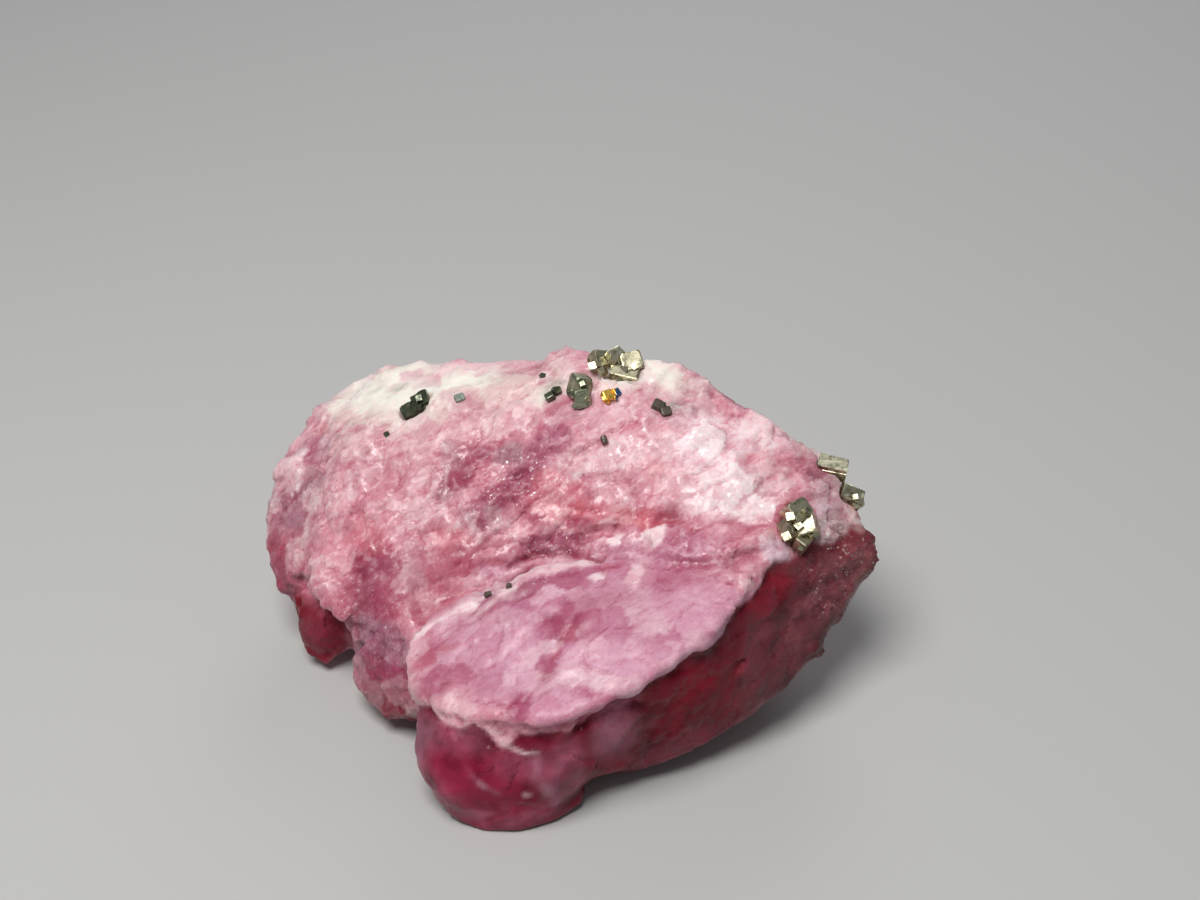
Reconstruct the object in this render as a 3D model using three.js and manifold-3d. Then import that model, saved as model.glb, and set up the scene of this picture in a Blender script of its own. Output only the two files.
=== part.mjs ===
// A small hand specimen of rhodochrosite: one pink carbonate mass, broken along cleavage planes, with
// grains of brassy and dark sulphide minerals set in sockets in its surface.
// Millimetres, +Z up. X runs along the specimen's length, Y from its front lobe to its back ridge.
// The origin is on the surface that the specimen rests on, under the middle of its bounding box.
import * as THREE from "three";
import { ConvexGeometry } from "three/addons/geometries/ConvexGeometry.js";
import { mergeVertices } from "three/addons/utils/BufferGeometryUtils.js";
import Module from "manifold-3d";

const wasm = await Module();
wasm.setup();

// Driving dimensions.
const SHIFT = [0.2, -0.45, 0]; // brings the middle of the bounding box over the origin
const SOCKET_GAP = 0.06; // clearance all round a grain in its socket
const CLEAVAGE_ANGLE = 107; // degrees at the blunt corner of a cleavage plate
const PLATE_SIZE = [0.9, 3.4]; // shortest and longest edge of a cleavage plate
const PLATE_RISE = [0.05, 0.16]; // how far a plate stands out of the surface
const PLATE_OVERHANG = 0.3; // how far a plate may reach past the edge of the lump under it
const PLATE_TILT = 0.24; // how far a plate may lean away from the surface under it
const PLATE_FLOOR = 1.8; // plates are kept above this height, so that they never touch the ground
const PLATE_COUNT = 64;
const PLATE_SEED = 20;

// The mass is a cluster of grown-together lumps. Each is a convex block, given by its corners [x, y, z].
// Corners below zero are trimmed away by the flat cleavage that the specimen stands on.
const LUMPS = {
  // The left end, which slopes down to the left and towards the front.
  leftShoulder: [
    [-10.8, 9.0, 8.5], [-10.2, 9.6, 8.8], [-8.4, 9.9, 9.7], [-7.0, 6.0, 10.3], [-9.4, 5.0, 9.3],
    [-11.6, 8.2, 8.1], [-12.5, 6.8, 7.6], [-13.2, 5.5, 6.8], [-13.5, 4.3, 5.9],
    [-13.4, 3.1, 4.7], [-13.0, 1.7, 3.4], [-11.3, 1.2, 5.4], [-9.9, 2.2, 7.1],
    [-5.0, 2.0, 8.2], [-5.0, 1.0, 4.0], [-12.2, 4.0, 2.0], [-11.0, 8.5, 2.5],
    [-10.5, 3.0, -0.4], [-6.0, 8.0, -0.6], [-6.0, 2.0, -0.6], [-9.5, 7.5, -0.4],
  ],
  // The plateau along the left half of the back ridge.
  plateau: [
    [-9.4, 9.6, 9.3], [-8.4, 9.9, 9.7], [-6.0, 9.5, 10.3], [-3.4, 8.9, 10.8], [-1.2, 8.5, 11.1],
    [-1.4, 6.4, 11.6], [-4.8, 6.1, 10.8], [-6.7, 6.2, 10.3], [-8.6, 6.6, 9.8],
    [-3.6, 3.4, 10.1], [-7.6, 3.4, 9.0], [-8.0, 8.5, 0.0], [-1.0, 8.2, -0.5], [-1.0, 3.0, 1.0],
    [-7.0, 3.0, 1.0],
  ],
  // The broad front face under the plateau.
  mainFace: [
    [-7.6, 3.6, 9.1], [-3.6, 3.5, 10.1], [-1.2, 5.4, 11.6], [0.6, 3.0, 11.1], [-2.0, 2.6, 9.6],
    [-7.4, 0.2, 6.5], [-5.0, 0.8, 7.7], [-9.4, 1.2, 6.5], [-6.4, -1.5, 5.0], [-4.0, -0.6, 6.3],
    [-1.0, -0.2, 7.2], [1.0, 0.6, 8.4], [-7.0, -1.5, 2.0], [-6.0, 6.0, 1.0], [1.0, 6.0, 1.0],
    [1.0, -2.0, -0.6], [-5.0, -2.0, -0.6],
  ],
  // The middle of the front face, between the broad face and the crown.
  middleFace: [
    [-1.6, 6.2, 11.7], [0.4, 5.6, 12.2], [2.4, 5.0, 12.4], [3.6, 3.4, 11.7], [1.5, 2.5, 11.1],
    [-2.2, 2.9, 9.8], [5.2, 1.6, 10.7], [1.3, 0.9, 8.9], [-1.2, -0.2, 7.2], [2.8, -0.4, 8.5],
    [5.4, -0.7, 8.7], [1.3, -1.7, 7.0], [-2.0, -1.0, 5.0], [-1.0, 6.0, 0.5], [5.0, 6.0, 0.5],
    [5.0, -1.5, 2.0], [-1.0, -2.0, 1.0],
  ],
  // The crown, the highest part, right of the middle.
  crown: [
    [1.9, 6.5, 12.4], [3.0, 6.3, 12.7], [4.6, 6.1, 12.5], [5.8, 5.2, 12.1], [7.0, 4.2, 11.7],
    [8.4, 3.8, 11.3], [9.6, 3.3, 10.7], [10.1, 2.4, 10.2], [8.9, 0.5, 9.8], [5.6, -0.7, 8.9],
    [2.8, -0.3, 8.7], [1.5, 2.3, 11.0], [3.4, 3.4, 11.9], [5.4, 1.9, 11.2], [8.0, 2.8, 11.0],
    [1.0, 8.0, 0.0], [5.5, 7.4, -0.4], [9.0, 3.5, 1.6], [7.0, -1.5, 1.0], [1.0, -1.0, -0.6],
    [8.4, 5.0, 4.0],
  ],
  // A rounded knob on the ridge.
  knob: [
    [-1.3, 8.3, 11.1], [-0.8, 8.1, 11.8], [-0.1, 7.9, 12.3], [0.7, 7.6, 12.4], [1.3, 7.0, 12.3],
    [1.2, 6.1, 12.3], [-0.2, 5.9, 12.3], [-1.3, 6.6, 11.8], [-1.0, 8.8, 9.0], [1.6, 8.2, 9.5],
    [0.0, 5.0, 10.0],
  ],
  // The right end, a blunt nose.
  rightNose: [
    [8.6, 3.8, 11.2], [10.0, 2.8, 10.4], [11.2, 2.2, 9.7], [11.9, 1.3, 8.8], [12.5, 0.5, 7.9],
    [12.8, 0.0, 6.9], [12.6, 0.1, 5.7], [11.4, -1.1, 4.5], [10.3, -2.4, 3.5], [9.0, -3.9, 2.8],
    [9.2, -0.6, 9.2], [7.9, -2.1, 8.3], [10.8, -0.9, 6.8], [7.5, 0.0, 9.6], [9.0, 6.2, 3.5],
    [11.4, 3.8, 6.0], [10.2, 5.0, 8.4], [8.0, 3.5, 0.6], [8.0, -3.5, 2.0],
  ],
  // The back of the right half, which is steep.
  backRight: [
    [-0.8, 8.6, 10.8], [3.0, 7.9, 11.4], [5.6, 7.0, 11.2], [8.6, 5.4, 10.0], [9.6, 4.8, 8.6],
    [8.4, 6.8, 5.0], [6.0, 8.2, 3.0], [0.4, 9.4, 5.0], [-1.6, 8.3, -0.4], [6.0, 6.8, -0.4],
    [8.4, 4.0, 0.6], [-1.5, 2.0, -0.6], [2.0, 4.0, 11.0],
  ],
  // The back of the left half.
  backLeft: [
    [-10.4, 9.3, 8.4], [-8.2, 10.2, 8.8], [-4.0, 9.9, 9.4], [0.0, 9.6, 9.6], [0.6, 9.6, 5.0],
    [-4.0, 10.3, 5.4], [-8.6, 9.9, 4.8], [-11.0, 7.6, 4.0], [-8.8, 8.2, -0.4], [-3.0, 8.9, -0.4],
    [0.6, 8.4, -0.4], [-4.0, 3.0, -0.6],
  ],
  // The steep flank under the shelf's right rim.
  rightFlank: [
    [3.2, -7.1, 6.8], [5.2, -5.6, 7.3], [6.7, -3.8, 7.8], [7.8, -2.1, 8.2], [1.7, -6.6, 0.8],
    [3.5, -6.5, 1.1], [5.4, -5.8, 1.5], [7.7, -4.7, 2.2], [9.0, -3.9, 2.8], [10.3, -2.4, 3.5],
    [10.4, -1.0, 6.8], [0.0, -5.0, 6.0], [0.0, -5.0, -0.4], [6.0, -3.0, -0.3], [4.0, 1.0, -0.4],
  ],
  // The shelf, a tilted slab that juts towards the front.
  shelf: [
    [-6.7, -4.2, 5.4], [-5.8, -2.9, 6.1], [-4.4, -2.1, 6.7], [-2.8, -1.6, 7.2], [-0.6, -1.1, 7.5],
    [1.3, -1.2, 7.8], [3.2, -1.0, 8.2], [7.9, -2.0, 8.5], [6.8, -4.0, 8.0], [5.2, -5.9, 7.5],
    [3.2, -7.5, 7.0], [0.9, -8.3, 6.3], [-0.8, -8.7, 5.8], [-2.6, -8.4, 5.6], [-4.6, -7.6, 5.3],
    [-6.2, -6.0, 4.9], [-6.0, -4.4, 4.2], [-5.2, -6.4, 4.2], [-2.2, -7.4, 4.2], [2.0, -7.0, 4.9],
    [5.0, -5.0, 5.4], [7.0, -2.5, 6.2], [0.0, -1.0, 4.0], [0.6, -4.6, 7.7],
  ],
  // The rounded glassy lobe under the shelf's front rim.
  frontLobe: [
    [-6.5, -7.1, 3.0], [-6.3, -7.7, 1.9], [-5.6, -8.3, 0.8], [-4.4, -8.7, 0.2], [-3.4, -9.0, 0.0],
    [-2.0, -9.1, 0.0], [-0.5, -8.6, 0.2], [0.6, -7.9, 0.4], [-5.4, -8.5, 2.9], [-4.2, -9.2, 2.8],
    [-2.8, -9.5, 2.7], [-0.8, -9.2, 2.9], [0.7, -8.4, 3.6], [-6.0, -6.6, 4.2], [-4.0, -7.8, 4.9],
    [0.0, -8.3, 5.3], [-4.6, -5.0, -0.3], [1.0, -4.0, -0.4], [-4.0, -4.0, 5.0], [1.0, -5.0, 5.0],
    [-3.4, -8.6, -0.5], [-1.0, -8.2, -0.5],
  ],
  // The root of the shelf and the lobe, which joins them to the front face.
  shelfRoot: [
    [-5.9, -4.8, 4.6], [-5.9, -4.6, 1.2], [-6.4, -2.0, 0.8], [-6.2, -1.6, 4.9], [-4.0, -0.6, 6.0],
    [0.0, -1.0, 5.0], [0.0, -6.0, 4.8], [-1.0, -6.0, 0.6], [-5.0, -6.2, 1.0], [-1.0, -1.0, 0.5],
  ],
  // The neck that joins the lobe to the flank.
  lobeNeck: [
    [0.4, -8.2, 4.6], [0.6, -8.0, 1.4], [1.6, -7.2, 1.5], [2.4, -7.5, 4.4], [1.4, -7.9, 5.4],
    [2.9, -6.8, 1.6], [0.0, -5.0, 0.4], [2.5, -5.0, 0.8], [0.0, -5.0, 5.0], [3.2, -6.9, 5.0],
  ],
  // A wedge-shaped block between the shelf and the left end.
  leftWedge: [
    [-6.2, -4.8, 2.4], [-7.8, -3.7, 1.0], [-8.4, -3.1, 1.1], [-9.4, -2.2, 1.8], [-9.4, -1.6, 2.6],
    [-8.0, -1.9, 3.8], [-6.2, -3.0, 4.5], [-6.0, 0.0, 0.2], [-8.4, 0.0, 0.2], [-5.0, -3.0, 0.3],
    [-5.4, -4.6, 3.4],
  ],
  // The face above the wedge, which runs up to the broad front face.
  lowerLeft: [
    [-9.5, -0.5, 4.5], [-9.3, 1.2, 6.4], [-7.2, 0.3, 6.5], [-6.3, -1.6, 5.1], [-6.2, -3.0, 4.7],
    [-7.9, -1.8, 3.9], [-9.2, -1.0, 3.2], [-9.4, 0.2, 0.8], [-6.0, 2.0, 0.0], [-10.0, 2.4, 0.4],
    [-5.0, -1.0, 1.0], [-10.4, 1.6, 5.4], [-8.0, 3.4, 5.6],
  ],
  // A small drop-shaped lobe under the left end.
  leftLobe: [
    [-10.1, -0.2, 1.0], [-10.8, -0.1, 0.4], [-11.7, 0.2, 0.7], [-12.3, 1.0, 1.2], [-12.4, 1.4, 2.5],
    [-11.9, 0.9, 3.5], [-10.8, -0.2, 3.5], [-10.0, 0.0, 2.4], [-10.5, 3.0, 0.3], [-12.0, 3.2, 1.5],
    [-10.0, 2.6, 3.8], [-9.6, 1.2, 1.0],
  ],
  // A pale flake above the small lobe.
  leftFlake: [
    [-10.5, -0.5, 4.2], [-9.6, -1.2, 4.3], [-9.0, -1.1, 4.2], [-8.7, -0.5, 5.1], [-10.6, 0.3, 5.3],
    [-11.2, 0.6, 4.7], [-9.5, 2.0, 5.0], [-10.0, 2.0, 4.0], [-8.5, 1.0, 6.3], [-10.4, 1.4, 6.0],
  ],
  // The scalloped flake that overlaps the back of the shelf.
  backFlake: [
    [3.4, -1.5, 8.5], [4.6, -2.2, 8.7], [5.8, -2.3, 8.8], [7.0, -1.9, 9.0], [8.3, -1.3, 9.0],
    [8.9, -0.1, 9.4], [5.4, 0.4, 9.5], [3.2, -0.2, 8.8], [4.4, -1.9, 7.9], [6.6, -2.1, 8.0],
    [8.2, -1.4, 7.6], [4.5, -0.5, 7.6], [8.6, -0.2, 7.6],
  ],
};

// Clefts between the lumps and hollows where blocks have broken away, as convex blocks to cut.
const HOLLOWS = {
  // A dark cleft along the foot of the front face, above the shelf.
  cleft: [
    [-0.8, -1.3, 8.6], [0.8, -0.5, 9.8], [3.4, -1.0, 10.0], [-0.4, -0.1, 7.2],
    [1.0, 0.4, 7.9], [3.0, 0.0, 8.4], [-0.6, -0.6, 8.9], [3.4, -0.3, 10.0],
  ],
  // A slot beside the pale flake.
  slot: [
    [-11.9, 0.2, 6.4], [-11.3, -0.4, 6.2], [-11.8, 0.2, 4.2], [-11.4, -0.2, 4.0],
    [-11.5, 2.0, 5.4], [-11.4, 2.0, 4.6],
  ],
};

// Each region of the mass broke from one crystal, so its cleavage plates run the same way.
const GRAIN_DIRECTIONS = [
  { centre: [-9, 4, 7], along: [0.5, -0.6, -0.6] },
  { centre: [-3, 3, 9], along: [-0.8, -0.5, -0.35] },
  { centre: [5, 3, 11], along: [-0.75, -0.6, -0.2] },
  { centre: [10, 0, 7], along: [-0.3, -0.6, 0.7] },
  { centre: [-4, 9, 5], along: [0.8, 0.1, 0.6] },
  { centre: [5, 7, 5], along: [0.6, -0.3, -0.7] },
].map(({ centre, along }) => ({
  centre: new THREE.Vector3(...centre),
  along: new THREE.Vector3(...along).normalize(),
}));

// A small repeatable random generator, so that every build gives the same specimen.
function randomFrom(seed) {
  let state = seed;
  return () => {
    state = (Math.imul(state, 1664525) + 1013904223) >>> 0;
    return state / 4294967296;
  };
}

// A three.js geometry as a manifold-3d solid, with only its positions kept.
function solidFrom(geometry) {
  const bare = geometry.clone();
  bare.deleteAttribute("normal");
  bare.deleteAttribute("uv");
  const merged = mergeVertices(bare, 1e-4);
  return new wasm.Manifold(
    new wasm.Mesh({
      numProp: 3,
      vertProperties: merged.getAttribute("position").array,
      triVerts: new Uint32Array(merged.index.array),
    }),
  );
}

function geometryFrom(solid) {
  const mesh = solid.getMesh();
  const geometry = new THREE.BufferGeometry();
  geometry.setAttribute("position", new THREE.BufferAttribute(mesh.vertProperties, 3));
  geometry.setIndex(new THREE.BufferAttribute(mesh.triVerts, 1));
  geometry.computeVertexNormals();
  return geometry;
}

const hull = (points) => solidFrom(new ConvexGeometry(points));
const joined = (solids) => solids.reduce((sum, solid) => sum.add(solid));

// The main body alone, with loose splinters dropped and sealed pores filled.
const mainBody = (solid) =>
  solid.decompose().reduce((most, body) => (body.volume() > most.volume() ? body : most));

// The convex hull of points, pushed out by a clearance from their middle.
function grown(points, clearance) {
  const middle = points.reduce((sum, point) => sum.clone().add(point)).divideScalar(points.length);
  return points.map((point) => {
    const arm = point.clone().sub(middle);
    return middle.clone().add(arm.multiplyScalar(1 + clearance / arm.length()));
  });
}

// A cleavage plate: a flat rhomb lying along the surface, whose top is at the given height over it.
function plate(point, normal, along, size, height) {
  const side = new THREE.Vector3().crossVectors(normal, along).normalize();
  const first = new THREE.Vector3().crossVectors(side, normal);
  const angle = THREE.MathUtils.degToRad(CLEAVAGE_ANGLE);
  const second = first.clone().multiplyScalar(Math.cos(angle)).addScaledVector(side, Math.sin(angle));
  const lean = first.clone().add(second).multiplyScalar(0.3).add(normal).normalize();
  const corners = [];
  for (const a of [-0.5, 0.5]) {
    for (const b of [-0.5, 0.5]) {
      for (const c of [-size[2], 0]) {
        corners.push(
          point.clone()
            .addScaledVector(first, a * size[0])
            .addScaledVector(second, b * size[1])
            .addScaledVector(lean, c)
            .addScaledVector(normal, height),
        );
      }
    }
  }
  return hull(corners);
}

// Plates scattered over the rough upper part of the mass. The shelf and the glassy lobe stay smooth.
function platesOn(solid) {
  const random = randomFrom(PLATE_SEED);
  const target = new THREE.Mesh(geometryFrom(solid), new THREE.MeshBasicMaterial());
  target.updateMatrixWorld();
  const ray = new THREE.Raycaster();
  const heart = new THREE.Vector3(-0.5, 3, 4.5);
  const plates = [];
  while (plates.length < PLATE_COUNT) {
    const angle = random() * 2 * Math.PI;
    const lift = random() * 1.9 - 0.55;
    const outward = new THREE.Vector3(1.35 * Math.cos(angle), Math.sin(angle), lift).normalize();
    const size = [1, 0.75, 0.8].map(
      (share) => share * THREE.MathUtils.lerp(...PLATE_SIZE, random() ** 1.5),
    );
    const height = THREE.MathUtils.lerp(...PLATE_RISE, random());
    const wobble = new THREE.Vector3(random() - 0.5, random() - 0.5, random() - 0.5);
    ray.set(heart.clone().addScaledVector(outward, 40), outward.clone().negate());
    const hit = ray.intersectObject(target)[0];
    const onShelf = hit.point.y < 0.6 && hit.point.z < 9.3 && hit.point.x > -6.2 && hit.point.x < 9;
    const onLobe = hit.point.y < -1.2 && hit.point.x > -9 && hit.point.x < 8;
    if (hit.point.z < PLATE_FLOOR || onShelf || onLobe) continue;
    const region = GRAIN_DIRECTIONS.reduce((near, other) =>
      other.centre.distanceTo(hit.point) < near.centre.distanceTo(hit.point) ? other : near,
    );
    const normal = hit.face.normal.clone().addScaledVector(wobble, PLATE_TILT).normalize();
    plates.push(plate(hit.point, normal, region.along, size, height));
  }
  return plates;
}

// A cube-like crystal with slightly unequal edges, turned by Euler angles, as a list of corners.
function cubeCorners(centre, edges, turn) {
  const place = new THREE.Matrix4().makeRotationFromEuler(new THREE.Euler(...turn));
  place.setPosition(...centre);
  const corners = [];
  for (const x of [-0.5, 0.5]) {
    for (const y of [-0.5, 0.5]) {
      for (const z of [-0.5, 0.5]) {
        corners.push(new THREE.Vector3(x * edges[0], y * edges[1], z * edges[2]).applyMatrix4(place));
      }
    }
  }
  return corners;
}

// A crystal with its cube corners cut off by octahedron faces, as pyrite and galena often have.
function truncatedCorners(centre, edges, turn, cut = 0.3) {
  const place = new THREE.Matrix4().makeRotationFromEuler(new THREE.Euler(...turn));
  place.setPosition(...centre);
  const corners = [];
  for (const x of [-0.5, 0.5]) {
    for (const y of [-0.5, 0.5]) {
      for (const z of [-0.5, 0.5]) {
        for (const axis of [0, 1, 2]) {
          const corner = [x, y, z];
          corner[axis] *= 1 - cut;
          corners.push(
            new THREE.Vector3(...corner.map((value, i) => value * edges[i])).applyMatrix4(place),
          );
        }
      }
    }
  }
  return corners;
}

// The sulphide grains. Each is one crystal, or a few crystals grown into one another.
const BRASS = { color: 0xb9a86a, roughness: 0.35, metalness: 1 };
const OLIVE = { color: 0x7d7f62, roughness: 0.45, metalness: 0.9 };
const GOLD = { color: 0xd8a838, roughness: 0.25, metalness: 1 };
const DARK = { color: 0x1c211c, roughness: 0.3, metalness: 0.2 };
const BROWN = { color: 0x5c4a3a, roughness: 0.6, metalness: 0 };
const GREY = { color: 0x6f7a6c, roughness: 0.5, metalness: 0.3 };
const GRAINS = {
  pyrite_cluster_right: {
    look: BRASS,
    crystals: [
      truncatedCorners([9.3, -0.5, 9.6], [0.95, 0.85, 0.95], [0.5, 0.3, 0.6]),
      cubeCorners([9.05, -0.9, 9.1], [0.7, 0.75, 0.7], [0.2, 0.7, 0.3]),
      truncatedCorners([9.75, -0.7, 9.1], [0.8, 0.85, 1.2], [0.7, -0.3, 0.2]),
      cubeCorners([9.55, -1.1, 8.55], [0.6, 0.55, 0.8], [0.4, 0.2, 0.9]),
    ],
  },
  pyrite_blade_right: {
    look: BRASS,
    crystals: [cubeCorners([11.05, 2.55, 9.4], [1.3, 0.8, 1.1], [0.1, 0.08, -0.25])],
  },
  pyrite_cube_right: {
    look: BRASS,
    crystals: [
      cubeCorners([11.8, 1.6, 8.75], [0.95, 0.75, 0.65], [0.25, 0.3, -0.3]),
      truncatedCorners([12.0, 1.4, 8.65], [0.5, 0.55, 0.55], [0.6, 0.2, 0.4]),
    ],
  },
  pyrite_cluster_top: {
    look: BRASS,
    crystals: [
      truncatedCorners([1.3, 6.2, 12.5], [0.85, 0.8, 0.7], [0.4, 0.5, 0.2]),
      cubeCorners([1.95, 6.2, 12.6], [0.75, 0.8, 0.75], [0.2, 0.4, 0.8]),
      truncatedCorners([2.6, 6.0, 12.6], [0.9, 0.8, 0.75], [0.7, 0.1, 0.3]),
      cubeCorners([2.3, 5.6, 12.35], [1.2, 0.65, 0.6], [0.5, 0.1, -0.2]),
    ],
  },
  pyrite_olive_grain: {
    look: OLIVE,
    crystals: [
      truncatedCorners([0.4, 4.95, 12.1], [0.75, 0.75, 0.95], [-0.35, 0.25, 0.4]),
      truncatedCorners([0.5, 4.6, 11.75], [0.65, 0.6, 0.8], [-0.5, -0.2, 0.2]),
    ],
  },
  pyrite_gold_grain: {
    look: GOLD,
    crystals: [
      truncatedCorners([1.6, 4.2, 12.12], [0.46, 0.45, 0.4], [0.5, 0.2, 0.4]),
      cubeCorners([1.92, 4.35, 12.18], [0.36, 0.32, 0.32], [0.2, 0.6, 0.7]),
    ],
  },
  dark_crystal_left: {
    look: DARK,
    crystals: [
      truncatedCorners([-6.5, 6.35, 10.35], [0.8, 0.7, 0.5], [0.5, -0.35, 0.35]),
      truncatedCorners([-6.9, 6.05, 10.1], [0.95, 0.65, 0.45], [0.5, -0.3, 0.5]),
    ],
  },
  dark_speck_left: {
    look: DARK,
    crystals: [truncatedCorners([-7.95, 5.0, 9.5], [0.22, 0.22, 0.28], [0.4, 0.2, 0.6])],
  },
  dark_speck_crest: {
    look: DARK,
    crystals: [truncatedCorners([-1.2, 6.2, 11.75], [0.24, 0.22, 0.26], [0.3, 0.5, 0.1])],
  },
  dark_grain_middle: {
    look: DARK,
    crystals: [
      truncatedCorners([-0.58, 5.12, 11.75], [0.36, 0.3, 0.32], [0.5, 0.4, 0.3]),
      truncatedCorners([-0.85, 4.9, 11.6], [0.4, 0.3, 0.34], [0.4, -0.2, 0.5]),
    ],
  },
  grey_grain_crust: {
    look: GREY,
    crystals: [truncatedCorners([-4.8, 6.0, 10.72], [0.42, 0.34, 0.36], [0.5, 0.1, 0.4])],
  },
  brown_grain_right: {
    look: BROWN,
    crystals: [
      truncatedCorners([3.72, 3.72, 11.95], [0.5, 0.42, 0.4], [0.4, 0.3, -0.4]),
      truncatedCorners([4.02, 3.5, 11.82], [0.42, 0.36, 0.36], [0.6, 0.2, 0.3]),
    ],
  },
  brown_speck_centre: {
    look: BROWN,
    crystals: [truncatedCorners([1.45, 2.5, 11.1], [0.2, 0.34, 0.32], [0.7, 0.2, 0.3])],
  },
  dark_speck_shelf_left: {
    look: DARK,
    crystals: [truncatedCorners([-3.3, -2.5, 6.95], [0.28, 0.2, 0.24], [0.3, 0.2, 0.4])],
  },
  dark_speck_shelf_right: {
    look: DARK,
    crystals: [truncatedCorners([-2.45, -2.2, 7.15], [0.2, 0.17, 0.24], [0.2, 0.3, 0.2])],
  },
};

const specimen = new THREE.Group();
specimen.position.set(...SHIFT);
function add(name, solid, look) {
  const mesh = new THREE.Mesh(geometryFrom(solid), new THREE.MeshStandardMaterial(look));
  mesh.name = name;
  specimen.add(mesh);
}

const lumps = Object.values(LUMPS).map((corners) => corners.map((at) => new THREE.Vector3(...at)));
let mass = joined(lumps.map(hull));
const allowance = joined(lumps.map((points) => hull(grown(points, PLATE_OVERHANG))));
mass = mass.add(joined(platesOn(mass)).intersect(allowance));
for (const hollow of Object.values(HOLLOWS)) {
  mass = mass.subtract(hull(hollow.map((at) => new THREE.Vector3(...at))));
}
const ground = solidFrom(new THREE.BoxGeometry(60, 60, 10).translate(0, 0, -5));
mass = mass.subtract(ground);
for (const { crystals } of Object.values(GRAINS)) {
  for (const corners of crystals) {
    mass = mass.subtract(hull(grown(corners, SOCKET_GAP * 1.8)));
  }
}
add("rhodochrosite_mass", mainBody(mass), { color: 0xc98090, roughness: 0.5, metalness: 0 });
for (const [name, { look, crystals }] of Object.entries(GRAINS)) {
  add(name, joined(crystals.map(hull)), look);
}

export default specimen;
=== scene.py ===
"""A small hand specimen of rhodochrosite, with grains of pyrite and dark sulphides, on a pale studio floor.

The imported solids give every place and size. The mass gets its broken crystalline skin here, and each
grain gets its crystal faces. Lengths in the shape code are millimetres.
"""

import math

import bmesh
import bpy
import numpy as np
from mathutils import Matrix, Vector
from mathutils.bvhtree import BVHTree


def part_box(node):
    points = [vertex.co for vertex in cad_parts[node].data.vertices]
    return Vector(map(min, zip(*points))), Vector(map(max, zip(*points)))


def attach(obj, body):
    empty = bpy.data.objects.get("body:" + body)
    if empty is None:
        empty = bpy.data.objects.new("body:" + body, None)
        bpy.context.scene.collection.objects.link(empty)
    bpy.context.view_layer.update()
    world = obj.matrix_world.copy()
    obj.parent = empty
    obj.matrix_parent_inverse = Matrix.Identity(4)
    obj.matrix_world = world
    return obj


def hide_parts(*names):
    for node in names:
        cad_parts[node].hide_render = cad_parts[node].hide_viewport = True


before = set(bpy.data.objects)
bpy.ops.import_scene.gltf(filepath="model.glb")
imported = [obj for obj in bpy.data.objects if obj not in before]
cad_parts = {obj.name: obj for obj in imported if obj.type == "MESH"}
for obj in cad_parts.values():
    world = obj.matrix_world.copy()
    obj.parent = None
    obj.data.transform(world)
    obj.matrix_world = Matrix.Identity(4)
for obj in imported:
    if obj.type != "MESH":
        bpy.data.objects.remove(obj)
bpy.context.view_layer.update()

MM = 0.001  # one millimetre in the scene's metres
SKIN = 0.155  # spacing of the points on the mass's surface
WELD = 0.004  # loose corners closer than this are joined
FAR = 9.0  # stands for any distance that is too large to matter

# ---- Repeatable noise on arrays of points, in millimetres ----


def unit(values):
    """The values, held between 0 and 1."""
    return np.clip(values, 0, 1)


def hashed(cells, seed, channels):
    """Repeatable random numbers from 0 to 1 for whole-numbered cells."""
    keys = cells.astype(np.int64) & 0xFFFF
    mixed = (keys[..., 0] * 73856093) ^ (keys[..., 1] * 19349663) ^ (keys[..., 2] * 83492791)
    out = []
    for channel in range(channels):
        h = (mixed + (seed * 131 + channel) * 2654435761) & 0xFFFFFFFF
        for _ in range(2):
            h = ((h ^ (h >> 16)) * 0x45D9F3B) & 0xFFFFFFFF
        out.append(((h ^ (h >> 16)) & 0xFFFFFF) / 0xFFFFFF)
    return np.stack(out, axis=-1)


def smooth_noise(points, size, seed):
    """Value noise from -1 to 1, with lumps of the given size."""
    grid = points / size
    base = np.floor(grid)
    part = grid - base
    part = part * part * (3 - 2 * part)
    total = np.zeros(len(points))
    for corner in np.ndindex(2, 2, 2):
        corner = np.array(corner)
        weight = np.prod(np.where(corner == 1, part, 1 - part), axis=1)
        total += weight * hashed(base + corner, seed, 1)[:, 0]
    return total * 2 - 1


def layered_noise(points, size, seed, octaves=4, gain=0.5):
    """Noise in layers, each half the size of the last and weaker by the gain."""
    total = np.zeros(len(points))
    for octave in range(octaves):
        total += gain**octave * smooth_noise(points, size / 2**octave, seed + octave)
    return total / sum(gain**octave for octave in range(octaves))


def wandering(points, size, seed, gain):
    """A shift for each point, in three directions, that changes smoothly from place to place."""
    return np.stack([layered_noise(points, size, seed + i, 4, gain) for i in range(3)], axis=1)


def crystal_cells(points, size, seed):
    """The crystal grain under each point: its random numbers, and the offset from its middle."""
    grid = points / size
    base = np.floor(grid)
    nearest = np.full(len(points), np.inf)
    middle = np.zeros_like(points)
    owner = np.zeros_like(points)
    for step in np.ndindex(3, 3, 3):
        cell = base + np.array(step) - 1
        centre = cell + hashed(cell, seed, 3)
        gap = np.linalg.norm(grid - centre, axis=1)
        closer = gap < nearest
        nearest = np.where(closer, gap, nearest)
        middle[closer] = centre[closer]
        owner[closer] = cell[closer]
    return hashed(owner, seed + 7, 4), (grid - middle) * size


def facets(points, size, seed, slope, step):
    """Heights of a surface made of flat tilted crystal faces with small steps between them."""
    chance, offset = crystal_cells(points, size, seed)
    tilt = (chance[:, :3] - 0.5) * 2 * slope
    return np.sum(offset * tilt, axis=1) + (chance[:, 3] - 0.5) * step


def soft_zone(points, centre, radii, edge):
    """1 inside an ellipsoid, falling softly to 0 over an edge, which is a share of its size."""
    reach = np.linalg.norm((points - np.array(centre)) / np.array(radii), axis=1)
    t = unit((1 + edge - reach) / (2 * edge))
    return t * t * (3 - 2 * t)


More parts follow.
